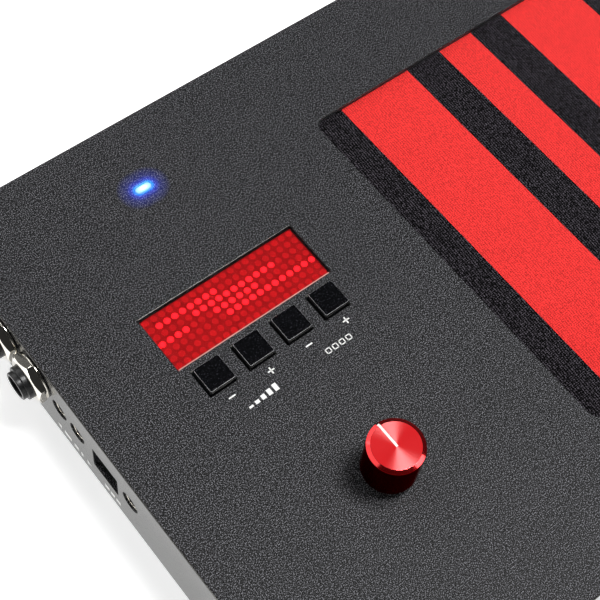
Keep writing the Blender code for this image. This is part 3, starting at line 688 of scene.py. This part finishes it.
class AddBottom(bpy.types.Operator):
    """Dresses the bottom plate and its feet, and adds the screws that hold it"""

    bl_idname = "fingerboard.add_bottom"
    bl_label = "Bottom"

    def execute(self, context):
        # Zinc-plated steel: pale grey with a faint spangle
        zinc = mottled("zinc_plated_steel", linear("B4B6B4"), 0.38, 4, 0.02, 0.12, Metallic=1.0)
        dress_node("bottom_plate", zinc)
        # Moulded rubber: matt black, a little grey where it is worn
        rubber = mottled("moulded_rubber", linear("1C1C1D"), 0.8, 0.7, 0.05)
        for number in range(1, 5):
            dress_node(f"rubber_foot_{number}", rubber)
        # Black-oxide steel: dark and slightly oily
        oxide = mottled("black_oxide_steel", linear("1A1A1C"), 0.35, 0.8, 0.01)
        sections = [
            (1.5 * MM, -2.5 * MM), (1.5 * MM, 0.0), (2.6 * MM, 0.0), (2.75 * MM, 0.25 * MM),
            (2.6 * MM, 0.8 * MM), (2.1 * MM, 1.3 * MM), (1.5 * MM, 1.5 * MM),
        ]
        head = turned_piece("case_screw", 24, sections)
        socket = turned_piece("socket", 6, [(1.15 * MM, 0.55 * MM), (1.15 * MM, 3 * MM)])
        cut(head, socket)
        smooth(head, 30)
        places = [(x, side) for x in CASE_SCREWS_X for side in (1, -1)]
        for number, (x, side) in enumerate(places, 1):
            at = (x, side * cover_high.y, cover_low.z + CASE_SCREW_RISE)
            screw = place(copy_of(head, f"case_screw_{number}"), at, (-side * math.pi / 2, 0, 0))
            dress(screw, "case", None, oxide)
        bpy.data.objects.remove(head)
        return {"FINISHED"}


class AddPlayingSurface(bpy.types.Operator):
    """Adds the striped fabric, in two halves over each sensing bar"""

    bl_idname = "fingerboard.add_playing_surface"
    bl_label = "Playing surface"

    def execute(self, context):
        red = knit("red_jersey_knit", colours().red_knit, 0.2, ((0.38, 0.6), (0.62, 1.35)))
        # On the black knit the brightest fibres are painted glints, up to eight times its colour
        black = knit(
            "black_jersey_knit", colours().black_knit, 0.01,
            ((0.42, 0.0), (0.66, 8.0), (0.51, 0.4), (0.58, 2.4)),
        )
        deselect()
        bpy.ops.mesh.primitive_grid_add(x_subdivisions=8, y_subdivisions=20, size=1)
        half = new_piece("fabric")
        half.scale = (HALF_STEP / 2, pad_high.y - pad_low.y, 1)
        half.location.z = pad_high.z
        settle(half)
        edit(half)
        bpy.ops.mesh.select_all(action="SELECT")
        bpy.ops.mesh.extrude_region_move(TRANSFORM_OT_translate={"value": (0, 0, pad_low.z - pad_high.z)})
        close_up()
        object_mode()
        first = None
        for step in range(HALF_STEPS):
            centre = pad_low.x + (step + 0.5) * HALF_STEP
            material = black if step % OCTAVE in BLACK_STEPS else red
            for side, name in ((-1, "left"), (1, "right")):
                at = centre + side * HALF_STEP / 4
                piece = place(copy_of(half, f"fabric_{step + 1:02d}_{name}"), (at, 0, 0))
                smooth(piece, 35, weighted=False)
                piece.data.materials.append(material)
                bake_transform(piece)
                first = first or piece
        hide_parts("playing_surface")
        bpy.data.objects.remove(half)
        return {"FINISHED"}


class DressMechanism(bpy.types.Operator):
    """Dresses the sensing bars, their rails and the circuit boards"""

    bl_idname = "fingerboard.dress_mechanism"
    bl_label = "Mechanism"

    def execute(self, context):
        # Extruded aluminium: silvery, with fine lines along the bar
        bar = lined("extruded_aluminium", linear("C9CBCD"), 0.32, (1, 0.03, 1), 0.25)
        for number in range(1, HALF_STEPS + 1):
            dress_node(f"sensing_bar_{number:02d}", bar)
        # Milled aluminium: duller, with fine lines along the rail
        rail = lined("milled_aluminium", linear("A9ABAE"), 0.42, (0.03, 1, 1), 0.3)
        sensor_height = 1.4 * MM
        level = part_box("rear_sensor_board")[1].z - sensor_height
        board = circuit_board("sensor_board_mask", level)
        for side in ("rear", "front"):
            dress_node(f"{side}_spring_rail", rail)
            dress_node(f"{side}_sensor_board", board)
        board_thickness = 1.7 * MM
        for node in ("main_board", "control_board"):
            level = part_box(node)[0].z + board_thickness
            dress_node(node, circuit_board(f"{node}_mask", level))
        return {"FINISHED"}


# Lit dots of the display, as (row from the rear, first column, last column): plain runs, no lettering
LIT_RUNS = ((1, 1, 8), (2, 5, 15), (3, 0, 3), (3, 7, 12), (4, 8, 19))


class AddDisplay(bpy.types.Operator):
    """Adds the dot-matrix modules, their dots and the red filter"""

    bl_idname = "fingerboard.add_display"
    bl_label = "Display"

    def execute(self, context):
        first_x = (display_low.x + display_high.x) / 2 - (DOT_COLUMNS - 1) / 2 * DOT_PITCH
        first_y = (display_low.y + display_high.y) / 2 + (DOT_ROWS - 1) / 2 * DOT_PITCH
        corner = (first_x - DOT_PITCH / 2, first_y - DOT_PITCH / 2, 0)
        # Epoxy-filled module faces and unlit dots: dull red, with a faint painted glow standing in for
        # light from their neighbours. Lit dots glow pale red, brightest in the middle
        face = glowing("display_module_face", linear("A8484E"), 0.25, 2)
        unlit = glowing("unlit_dot_resin", linear("C04A54"), 0.38, 0.5)
        lit = glowing("lit_dot_resin", colours().lit_dot, 1.5, 0.5, corner)
        # Moulded module bodies: plain black
        shell = mottled("black_module_shell", linear("0A0A0B"), 0.5, 0.5, 0.02)
        size = display_high - display_low
        gap = 0.01 * MM
        for number in range(DISPLAY_MODULES):
            left = display_low.x + number * size.x / DISPLAY_MODULES + gap
            right = display_low.x + (number + 1) * size.x / DISPLAY_MODULES - gap
            low = (left, display_low.y, display_low.z)
            high = (right, display_high.y, display_high.z)
            module = block(f"display_module_{number + 1}", low, high)
            dress(module, "case", "display_body", shell, face)
            coat_faces(module, 1, lambda at, normal: normal.z > 0.9)
            if not number:
                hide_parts("dot_matrix_display")
        radius = sizes().dot_radius
        sections = [(radius, 0.0), (radius, 0.06 * MM), (radius * 0.9, 0.1 * MM)]
        dots = turned_piece("display_dots", 16, sections)
        place(dots, (first_x, first_y, display_high.z))
        for count, offset in ((DOT_COLUMNS, (DOT_PITCH, 0, 0)), (DOT_ROWS, (0, -DOT_PITCH, 0))):
            apply_modifier(
                dots, "ARRAY", count=count, use_relative_offset=False, use_constant_offset=True,
                constant_offset_displace=offset,
            )
        dress(dots, "case", "display_body", unlit, lit)

        def is_lit(at, normal):
            column = round((at.x - first_x) / DOT_PITCH)
            row = round((first_y - at.y) / DOT_PITCH)
            return any(row == r and start <= column <= end for r, start, end in LIT_RUNS)

        coat_faces(dots, 1, is_lit)
        # Cast acrylic, dyed red through: clear, glossy, and faintly scratched
        acrylic = mottled(
            "red_acrylic", linear("FF8C8C"), 0.06, 3, 0.003, 0.03, 0.1, Transmission_Weight=1.0, IOR=1.49
        )
        # The sheet's sawn edge: frosted, and pale pink on the front edge as a painted highlight; the rear
        # and right edges are painted black as shade
        painted_highlight_edge = mottled("frosted_acrylic_edge_painted_highlight", linear("F0A8A0"), 0.5, 0.2, 0.02)
        window = block("display_window", filter_low, filter_high)
        soften(window, 0.22 * MM, 1)
        dress(smooth(window, weighted=False), "case", "red_filter", acrylic, painted_highlight_edge, shell)
        coat_faces(window, 1, lambda at, normal: normal.y < -0.5)
        # Painted shade: the rear and right edges take the black shell's colour
        coat_faces(window, 2, lambda at, normal: normal.y > 0.5 or normal.x > 0.5)
        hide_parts("display_filter")
        return {"FINISHED"}


class AddButtons(bpy.types.Operator):
    """Adds the four push buttons"""

    bl_idname = "fingerboard.add_buttons"
    bl_label = "Buttons"

    def execute(self, context):
        # Moulded ABS, polished black: nearly a mirror, with pale specks of dust on it
        black = Vector(linear("08080A"))
        plastic, tree, shader, at = begin_material("polished_black_abs", black, 0.07)
        dust = add_node(tree, "TexNoise", "Fac", {"Vector": at, "Scale": 1 / (0.4 * MM), "Detail": 3.0})
        surface(tree, shader, dust, [(0.5, black), (0.74, black * 14), (0.6, black * 3)], 0.15, 0.004)
        low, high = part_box("button_cap_1")
        edge = sizes().button_edge
        size = BUTTON_SIZE
        stem = 2.2 * MM
        lip = size + BUTTON_LIP
        lip_top = PANEL_UNDER - HOLE_GAP
        sections = [
            (stem, low.z), (stem, lip_top - BUTTON_LIP), (lip, lip_top - BUTTON_LIP), (lip, lip_top),
            (size, lip_top), (size, high.z - 1.3 * edge), (size - 0.3 * edge, high.z - 1.0 * edge),
            (size - edge, high.z - 0.3 * edge), (size - 1.2 * edge, high.z - 0.2 * edge),
            (size - 1.7 * edge, high.z),
        ]
        cap = square_piece("button", 0.12 * MM, 2, [(width, width, z) for width, z in sections])
        smooth(cap, 40)
        # The same plastic, pale in a thin band round the top edges: a painted highlight outline
        painted_edge_highlight = mottled("black_abs_painted_edge_highlight", linear("C8C8CC"), 0.25, 0.4, 0.01, 0.5)
        for number in range(1, BUTTONS + 1):
            at = middle(f"button_cap_{number}")
            piece = place(copy_of(cap, f"button_{number}"), (at.x, at.y, 0))
            dress(piece, f"button_{number}", "button_plastic", plastic, painted_edge_highlight)
            coat_faces(piece, 1, lambda at, normal: high.z - 0.3 * edge < at.z < high.z - 0.2 * edge)
            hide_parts(f"button_cap_{number}")
        bpy.data.objects.remove(cap)
        return {"FINISHED"}


class AddStatusLight(bpy.types.Operator):
    """Adds the status light's pipe"""

    bl_idname = "fingerboard.add_status_light"
    bl_label = "Status light"

    def execute(self, context):
        # Frosted polycarbonate, lit blue from below and nearly white at its core
        material, tree, shader, at = begin_material("lit_polycarbonate", linear("9FC0FF"), 0.3)
        centre = middle("status_light_pipe")
        glow_x = 2.5 * MM
        glow_y = 1.2 * MM
        to_middle = {
            "Location": (-centre.x / glow_x, -centre.y / glow_y, 0), "Scale": (1 / glow_x, 1 / glow_y, 0)
        }
        moved = add_node(tree, "Mapping", "Vector", {"Vector": at, **to_middle})
        apart = add_node(tree, "VectorMath", "Value", {0: moved}, operation="LENGTH")
        tones = ((0.0, "F4FBFF"), (1.0, "1C50FF"), (0.45, "9FE4FF"), (0.8, "3C8CFF"))
        stops = [(place_on_ramp, linear(code)) for place_on_ramp, code in tones]
        core = add_node(tree, "ValToRGB", "Color", {"Fac": apart}, stops)
        tree.links.new(core, shader.inputs["Emission Color"])
        shader.inputs["Emission Strength"].default_value = 1.6
        pipe = (LIGHT_LENGTH, LIGHT_WIDTH)
        collar = (LIGHT_LENGTH + 2 * LIGHT_COLLAR, LIGHT_WIDTH + 2 * LIGHT_COLLAR)
        collar_top = PANEL_UNDER - HOLE_GAP
        collar_low = collar_top - 1.5 * MM
        sections = [
            (*pipe, light_low.z), (*pipe, collar_low), (*collar, collar_low), (*collar, collar_top),
            (*pipe, collar_top), (*pipe, PANEL_TOP - 0.1 * MM),
            (pipe[0] * 0.94, pipe[1] * 0.86, light_high.z - 0.03 * MM),
            (pipe[0] * 0.7, pipe[1] * 0.5, light_high.z),
        ]
        piece = square_piece("status_light", LIGHT_WIDTH * 0.49, 8, sections)
        smooth(piece, 40, weighted=False)
        place(piece, (centre.x, centre.y, 0))
        dress(piece, "case", "light_pipe", material)
        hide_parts("status_light_pipe")
        return {"FINISHED"}


class AddKnob(bpy.types.Operator):
    """Adds the anodised knob with its pointer, and dresses the rotary control under it"""

    bl_idname = "fingerboard.add_knob"
    bl_label = "Knob"

    def execute(self, context):
        axis = middle("knob")
        radius = (knob_high.x - knob_low.x) / 2
        top = knob_high.z
        low = knob_low.z
        bevel_width = 1.1 * MM
        bevel_height = 0.45 * MM
        bore = 3.3 * MM
        recess = 5.0 * MM
        sections = [
            (bore, top - 2.3 * MM), (bore, low + 2.0 * MM), (recess, low + 2.0 * MM), (recess, low),
            (radius - 0.3 * MM, low), (radius - 0.08 * MM, low + 0.08 * MM), (radius, low + 0.3 * MM),
            (radius, top - bevel_height - 0.08 * MM), (radius - 0.06 * MM, top - bevel_height + 0.02 * MM),
            (radius - bevel_width + 0.04 * MM, top - 0.015 * MM), (radius - bevel_width - 0.04 * MM, top),
            (0.4 * MM, top),
        ]
        knob = turned_piece("knob_cap", sizes().knob_sides, sections)
        side = 0.34 * MM
        groove_floor = top - 0.6 * MM
        cut(knob, block("groove", (-side, -side, groove_floor), (side, radius + MM, top + MM)))
        place(smooth(knob, 30), (axis.x, axis.y, 0))
        colour = colours().knob
        # Anodised aluminium with a spun face: the dye in its oxide layer scatters red, and the fine
        # rings in its clear surface draw the lamps out into two pale fans
        spun, tree, shader, at = begin_material(
            "spun_anodised_aluminium", Vector(colour) * 0.85, 0.27, Metallic=0.15, Specular_IOR_Level=0.85,
            Anisotropic=0.95,
        )
        moved = add_node(
            tree, "VectorMath", "Vector", {0: at, 1: (axis.x, axis.y, 0)}, operation="SUBTRACT"
        )
        flat = add_node(tree, "VectorMath", "Vector", {0: moved, 1: (1, 1, 0)}, operation="MULTIPLY")
        ring = add_node(tree, "VectorMath", "Value", {0: flat}, operation="LENGTH")
        along = add_node(tree, "CombineXYZ", "Vector", {"X": ring})
        rings = add_node(
            tree, "TexNoise", "Fac", {"Vector": along, "Scale": 1 / (0.12 * MM), "Detail": 2.0}
        )
        tree.links.new(flat, shader.inputs["Tangent"])
        inputs = {"Height": rings, "Strength": 0.1, "Distance": 0.01 * MM}
        tree.links.new(add_node(tree, "Bump", "Normal", inputs), shader.inputs["Normal"])
        # The side is turned smooth: a red mirror, its colour and the tint of its reflections darkened as
        # painted shade
        turned = lined(
            "turned_anodised_aluminium_painted_shade", Vector(colour) * 0.15, 0.1, (1, 1, 4), 0.3,
            Specular_Tint=(0.5, 0.05, 0.05, 1.0),
        )
        # The bevel is cut with a diamond tool: a red mirror under a clear layer
        bevel = mottled(
            "polished_anodised_aluminium", colour, 0.12, 0.5, 0.01, 0.1, Metallic=0.95, Coat_Weight=1.0,
            Coat_Roughness=0.08,
        )
        dress(knob, "knob_and_shaft", "red_anodised_aluminium", turned, spun, bevel)
        coat_faces(knob, 2, lambda at, normal: normal.z > 0.5 and at.z > top - bevel_height)
        coat_faces(knob, 1, lambda at, normal: normal.z > 0.99 and at.z > top - 0.02 * MM)
        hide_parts("knob")

        # White enamel, filled into the groove and wiped level
        enamel = mottled("white_enamel", linear("F2F0EC"), 0.35, 0.4, 0.01, 0.05)
        side = 0.33 * MM
        pointer = block("knob_pointer", (-side, -side, groove_floor), (side, radius, top + MM))
        end = radius - 0.45 * MM
        face_edge = radius - bevel_width
        fall = bevel_height * (end - face_edge) / bevel_width
        proud = 0.015 * MM
        sections = [(end, groove_floor), (end, top - fall + proud), (face_edge, top + proud)]
        level = turned_piece("level", sizes().knob_sides, sections)
        cut(pointer, level, "INTERSECT")
        place(smooth(pointer), (axis.x, axis.y, 0))
        dress(pointer, "knob_and_shaft", None, enamel)
        # Nickel-plated brass nut and bushing, and a bright steel shaft
        nickel = mottled("nickel_plated_brass", linear("B9B4A8"), 0.25, 0.8, 0.01, Metallic=1.0)
        dress_node("rotary_control", nickel)
        dress_node("control_shaft", lined("turned_steel", linear("C0C1C3"), 0.25, (1, 1, 6), 0.3))
        return {"FINISHED"}


class AddOutputJacks(bpy.types.Operator):
    """Adds the two quarter-inch jacks with their washers and hexagon nuts"""

    bl_idname = "fingerboard.add_output_jacks"
    bl_label = "Output jacks"

    def execute(self, context):
        # Moulded nylon: black and satin. Chrome-plated brass: a clean mirror with a warm cast
        nylon = mottled("black_nylon", linear("161617"), 0.3, 0.5, 0.01, 0.4)
        chrome = mottled("chrome_plated_brass", linear("E8E4DA"), 0.09, 1.5, 0.004, 0.04, Metallic=1.0)
        low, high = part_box("output_jack_1")
        out = LEFT_X - low.x
        back = LEFT_X - high.x
        front = -SHEET - HOLE_GAP
        nose = out - 1.4 * MM
        sections = [
            (6.0 * MM, front - 1 * MM), (4.95 * MM, front - 1 * MM), (4.95 * MM, nose - 0.2 * MM),
            (4.87 * MM, nose - 0.06 * MM), (4.7 * MM, nose), (4.2 * MM, nose),
            (4.15 * MM, nose + 0.06 * MM), (4.15 * MM, out - 0.25 * MM), (4.07 * MM, out - 0.07 * MM),
            (3.9 * MM, out),
        ]
        barrel = turned_piece("barrel", 64, sections)
        sections = [(12.6 * MM, 13.0 * MM, back), (12.6 * MM, 13.0 * MM, front)]
        body = square_piece("body", 0.4 * MM, 3, sections)
        cut(body, barrel, "UNION")
        sections = [
            (3.25 * MM, back + 1.5 * MM), (3.25 * MM, out - 0.25 * MM), (3.32 * MM, out - 0.07 * MM),
            (3.6 * MM, out + 0.1 * MM),
        ]
        cut(body, turned_piece("bore", 64, sections))
        smooth(body, 35)

        thick = LEFT_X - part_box("jack_nut_1")[0].x
        washer_top = HOLE_GAP + 0.5 * MM
        nut_corner = 6.6 * MM / math.cos(math.pi / 6)
        nut = turned_piece("nut", 6, [(nut_corner, washer_top), (nut_corner, thick)], phase=NUT_TURN)
        sections = [
            (7.15 * MM, washer_top - 0.1 * MM), (7.75 * MM, washer_top + 0.35 * MM),
            (7.75 * MM, thick - 0.95 * MM), (5.9 * MM, thick + 0.1 * MM),
        ]
        cut(nut, turned_piece("chamfer", 72, sections), "INTERSECT")
        sections = [(5.0 * MM, 0.0), (5.0 * MM, thick - 0.25 * MM), (5.6 * MM, thick + 0.3 * MM)]
        cut(nut, turned_piece("hole", 64, sections))
        soften(nut, 0.07 * MM, 2, 25)
        smooth(nut, 30)
        sections = [
            (5.3 * MM, HOLE_GAP), (7.05 * MM, HOLE_GAP), (7.1 * MM, HOLE_GAP + 0.06 * MM),
            (7.1 * MM, washer_top - 0.1 * MM), (7.05 * MM, washer_top - 0.02 * MM),
            (5.3 * MM, washer_top - 0.02 * MM),
        ]
        washer = turned_piece("washer", 72, sections, through=True)
        smooth(washer, 40)
        for number in (1, 2):
            at = (LEFT_X, *middle(f"jack_nut_{number}").yz)
            for model, name, slot, material, node in (
                (body, "jack_body", "jack_plastic", nylon, "output_jack"),
                (nut, "hex_nut", "nut_chrome", chrome, "jack_nut"),
                (washer, "jack_washer", "nut_chrome", chrome, None),
            ):
                piece = place(copy_of(model, f"{name}_{number}"), at, OUT_OF_WALL)
                dress(piece, "case", slot, material)
                if node:
                    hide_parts(f"{node}_{number}")
        for obj in (body, nut, washer):
            bpy.data.objects.remove(obj)
        return {"FINISHED"}


class AddSmallSockets(bpy.types.Operator):
    """Adds the three miniature jacks, and dresses the computer socket and adds its contacts"""

    bl_idname = "fingerboard.add_small_sockets"
    bl_label = "Small sockets"

    def execute(self, context):
        # Nickel-plated brass: pale and slightly warm
        nickel = mottled("mini_jack_nickel_plate", linear("E2DDD0"), 0.2, 0.8, 0.005, 0.05, Metallic=1.0)
        low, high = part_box("mini_jack_1")
        front = -SHEET - HOLE_GAP
        back = LEFT_X - high.x
        bore_height = mini_jack_place(1)[1]
        half = (high.y - low.y) / 2
        body = block("body", (low.z - bore_height, -half, back), (high.z - bore_height, half, front))
        sections = [
            (2.5 * MM, front - 1 * MM), (2.9 * MM, front - 0.9 * MM), (2.9 * MM, -0.75 * MM),
            (2.83 * MM, -0.57 * MM), (2.65 * MM, -0.5 * MM),
        ]
        cut(body, turned_piece("nose", 48, sections), "UNION")
        sections = [
            (1.8 * MM, back + 0.5 * MM), (1.8 * MM, -0.66 * MM), (1.84 * MM, -0.56 * MM),
            (2.0 * MM, -0.4 * MM),
        ]
        cut(body, turned_piece("bore", 48, sections))
        smooth(body, 35)
        # Glass-filled nylon inside and behind it: black and dull
        shell = mottled("socket_nylon", linear("0F0F10"), 0.5, 0.4, 0.02, 0.3)
        for number in (1, 2, 3):
            at = (LEFT_X, *mini_jack_place(number))
            piece = place(copy_of(body, f"mini_jack_body_{number}"), at, OUT_OF_WALL)
            dress(piece, "case", "mini_jack_nickel", nickel, shell)
            coat_faces(piece, 1, lambda at, normal: at.x > LEFT_X + 1.2 * MM)
            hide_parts(f"mini_jack_{number}")
        bpy.data.objects.remove(body)

        dress_node("usb_socket", shell)
        # Gold-plated phosphor bronze: a warm yellow mirror with fine lines along the strip
        gold = lined("gold_plated_contact", linear("D8A94A"), 0.25, (0.1, 1, 1), 0.1)
        at = middle("usb_socket")
        contacts = []
        for side, level in ((-1, -1), (-1, 1), (1, -1), (1, 1)):
            y = at.y + side * 1.25 * MM
            z = at.z + level * 1.63 * MM
            low = (LEFT_X + 3.2 * MM, y - 0.5 * MM, z - 0.06 * MM)
            high = (LEFT_X + 10 * MM, y + 0.5 * MM, z + 0.06 * MM)
            contacts.append(block("contact", low, high))
        strips = join(contacts, "usb_contacts")
        soften(strips, 0.03 * MM)
        dress(smooth(strips), "case", "usb_socket_shell", gold)
        return {"FINISHED"}


class AddPrint(bpy.types.Operator):
    """Adds the plain printed marks: signs by the buttons, level steps and slots, and arrows on the wall"""

    bl_idname = "fingerboard.add_print"
    bl_label = "Printed marks"

    def execute(self, context):
        # Screen-printed epoxy ink: matt white over the coat's grain
        ink = mottled("white_screen_ink", linear("F0F0EE"), 0.35, 0.4, 0.05, 0.1, 0.4)
        marks = []
        thick = 0.04 * MM
        sunk = 0.02 * MM
        sign = 2.1 * MM
        line = 0.42 * MM

        def bar(x, y, width, height):
            low = (x - width / 2, y - height / 2, PANEL_TOP - sunk)
            marks.append(block("mark", low, (x + width / 2, y + height / 2, PANEL_TOP + thick)))

        for number in range(1, BUTTONS + 1):
            x = middle(f"button_cap_{number}").x + 0.18 * MM
            bar(x, SIGNS_Y, sign, line)
            if number % 2 == 0:
                bar(x, SIGNS_Y, line, sign)
        for step in range(5):
            height = 0.6 * MM + step * 0.4 * MM
            x = LEVEL_STEPS_X + (step - 2) * 2.1 * MM
            bar(x, WORDS_Y - 1.1 * MM + height / 2, 1.3 * MM, height)
        for slot_number in range(4):
            x = SLOTS_X + (slot_number - 1.5) * 2.3 * MM
            for side in (-1, 1):
                bar(x + side * 0.7 * MM, WORDS_Y, 0.3 * MM, 1.7 * MM)
                bar(x, WORDS_Y + side * 0.7 * MM, 1.7 * MM, 0.3 * MM)
        dress(join(marks, "panel_print"), "case", None, ink)

        marks = []
        for y, turn in ((32.4 * MM, 0.0), (18.8 * MM, math.pi)):
            arrow = turned_piece("arrow", 3, [(1.3 * MM, -sunk), (1.3 * MM, thick)], phase=turn)
            marks.append(place(arrow, (LEFT_X, y, WALL_PRINT_RISE), OUT_OF_WALL))
        for y, width in ((28.6, 3.2), (24.6, 2.0), (21.9, 1.0), (10.2, 2.0), (7.6, 2.0), (5.0, 2.0)):
            low = (LEFT_X - thick, (y - width / 2) * MM, WALL_PRINT_RISE - 0.9 * MM)
            high = (LEFT_X + sunk, (y + width / 2) * MM, WALL_PRINT_RISE + 0.9 * MM)
            marks.append(block("dash", low, high))
        dress(join(marks, "wall_print"), "case", None, ink)
        return {"FINISHED"}


# Place in metres, turn in degrees and focal length in millimetres, from the photograph's perspective
CAMERA_PLACE = (-0.31324, -0.10717, 0.33851)
CAMERA_TURN = (29.6301, -4.4912, -38.5396)
CAMERA_LENS = 79.288

FLOOR_SIZE = 3.2
LAMPS_AIM = (-0.15, 0.0, 0.03)
LAMPS_AWAY = 1.5


def aimed_lamp(name, azimuth, elevation, size, power):
    """A soft square lamp aimed at the panel, at an azimuth from +X towards +Y."""
    data = bpy.data.lights.new(name, "AREA")
    data.shape = "SQUARE"
    data.size = size
    data.energy = power
    lamp = bpy.data.objects.new(name, data)
    a = math.radians(azimuth)
    e = math.radians(elevation)
    away = Vector((math.cos(a) * math.cos(e), math.sin(a) * math.cos(e), math.sin(e)))
    lamp.location = Vector(LAMPS_AIM) + away * LAMPS_AWAY
    lamp.rotation_mode = "QUATERNION"
    lamp.rotation_quaternion = away.to_track_quat("Z", "Y")
    lamp.visible_camera = False
    bpy.context.scene.collection.objects.link(lamp)


class AddStage(bpy.types.Operator):
    """Adds the floor, the lamps, the world and the camera"""

    bl_idname = "fingerboard.add_stage"
    bl_label = "Stage"

    def execute(self, context):
        scene = context.scene
        deselect()
        bpy.ops.mesh.primitive_plane_add(size=FLOOR_SIZE)
        floor = new_piece("floor")
        # White paper: its own colour is plain, and it looks white to the camera and in reflections
        paper, tree, shader, _ = begin_material("white_paper", linear("E6E6E6"), 0.9)
        lift_to_white = 0.6
        seen = 0.0
        for ray in ("Is Camera Ray", "Is Glossy Ray", "Is Transmission Ray"):
            flag = add_node(tree, "LightPath", ray)
            seen = add_node(tree, "Math", "Value", {0: seen, 1: flag}, operation="ADD")
        lift = add_node(tree, "Math", "Value", {0: seen, 1: lift_to_white}, operation="MULTIPLY")
        shader.inputs["Emission Color"].default_value = (1, 1, 1, 1)
        tree.links.new(lift, shader.inputs["Emission Strength"])
        floor.data.materials.append(paper)

        world = bpy.data.worlds.new("studio")
        scene.world = world
        world.use_nodes = True
        tree = world.node_tree
        ground = tree.nodes["Background"]
        direction = add_node(tree, "TexCoord", "Generated")
        # The studio is white round the horizon and nearly black overhead
        height = add_node(tree, "SeparateXYZ", "Z", {"Vector": direction})
        sky = add_node(
            tree, "ValToRGB", "Color", {"Fac": height},
            stops=[(0.10, (1, 1, 1)), (0.95, (0.005, 0.005, 0.005)), (0.32, (0.05, 0.05, 0.05))],
        )
        tree.links.new(sky, ground.inputs["Color"])
        white = add_node(tree, "Background", "Background", {"Color": (1, 1, 1, 1), "Strength": 1.0})
        camera_ray = add_node(tree, "LightPath", "Is Camera Ray")
        mixed = add_node(
            tree, "MixShader", "Shader", {0: camera_ray, 1: ground.outputs["Background"], 2: white}
        )
        tree.links.new(mixed, tree.nodes["World Output"].inputs["Surface"])

        aimed_lamp("overhead_softbox", -32, 75, 0.45, 19)
        aimed_lamp("rear_softbox", 128, 55, 1.0, 4)
        aimed_lamp("low_rear_softbox", 86, 37, 0.8, 3)
        aimed_lamp("front_softbox", -40, 50, 0.5, 3.5)
        aimed_lamp("left_softbox", 178, 9, 0.4, 7)

        data = bpy.data.cameras.new("camera")
        data.sensor_fit = "HORIZONTAL"
        data.sensor_width = 36
        data.lens = CAMERA_LENS
        data.clip_start = 0.01
        data.clip_end = 20
        camera = bpy.data.objects.new("camera", data)
        camera.location = CAMERA_PLACE
        camera.rotation_euler = [math.radians(angle) for angle in CAMERA_TURN]
        scene.collection.objects.link(camera)
        scene.camera = camera
        scene.view_settings.view_transform = "Standard"
        return {"FINISHED"}


OPERATORS = (
    AddCover, AddBottom, AddPlayingSurface, DressMechanism, AddDisplay, AddButtons, AddStatusLight, AddKnob,
    AddOutputJacks, AddSmallSockets, AddPrint, AddStage,
)


class FingerboardPanel(bpy.types.Panel):
    """Lists the controller's pieces, with the sizes and colours of their looks"""

    bl_idname = "VIEW3D_PT_fingerboard"
    bl_label = "Fingerboard controller"
    bl_space_type = "VIEW_3D"
    bl_region_type = "UI"
    bl_category = "Fingerboard"

    def draw(self, context):
        column = self.layout.column()
        for group in (context.scene.fingerboard_sizes, context.scene.fingerboard_colours):
            for name in group.__annotations__:
                column.prop(group, name)
        for operator in OPERATORS:
            column.operator(operator.bl_idname)


CLASSES = (FingerboardSizes, FingerboardColours, *OPERATORS, FingerboardPanel)


def register():
    for item in CLASSES:
        bpy.utils.register_class(item)
    bpy.types.Scene.fingerboard_sizes = PointerProperty(type=FingerboardSizes)
    bpy.types.Scene.fingerboard_colours = PointerProperty(type=FingerboardColours)


def unregister():
    del bpy.types.Scene.fingerboard_colours
    del bpy.types.Scene.fingerboard_sizes
    for item in reversed(CLASSES):
        bpy.utils.unregister_class(item)


def main():
    register()
    for operator in OPERATORS:
        group, name = operator.bl_idname.split(".")
        result = getattr(getattr(bpy.ops, group), name)()
        if result != {"FINISHED"}:
            raise RuntimeError(f"{operator.bl_label} didn't finish")


if __name__ == "__main__":
    main()
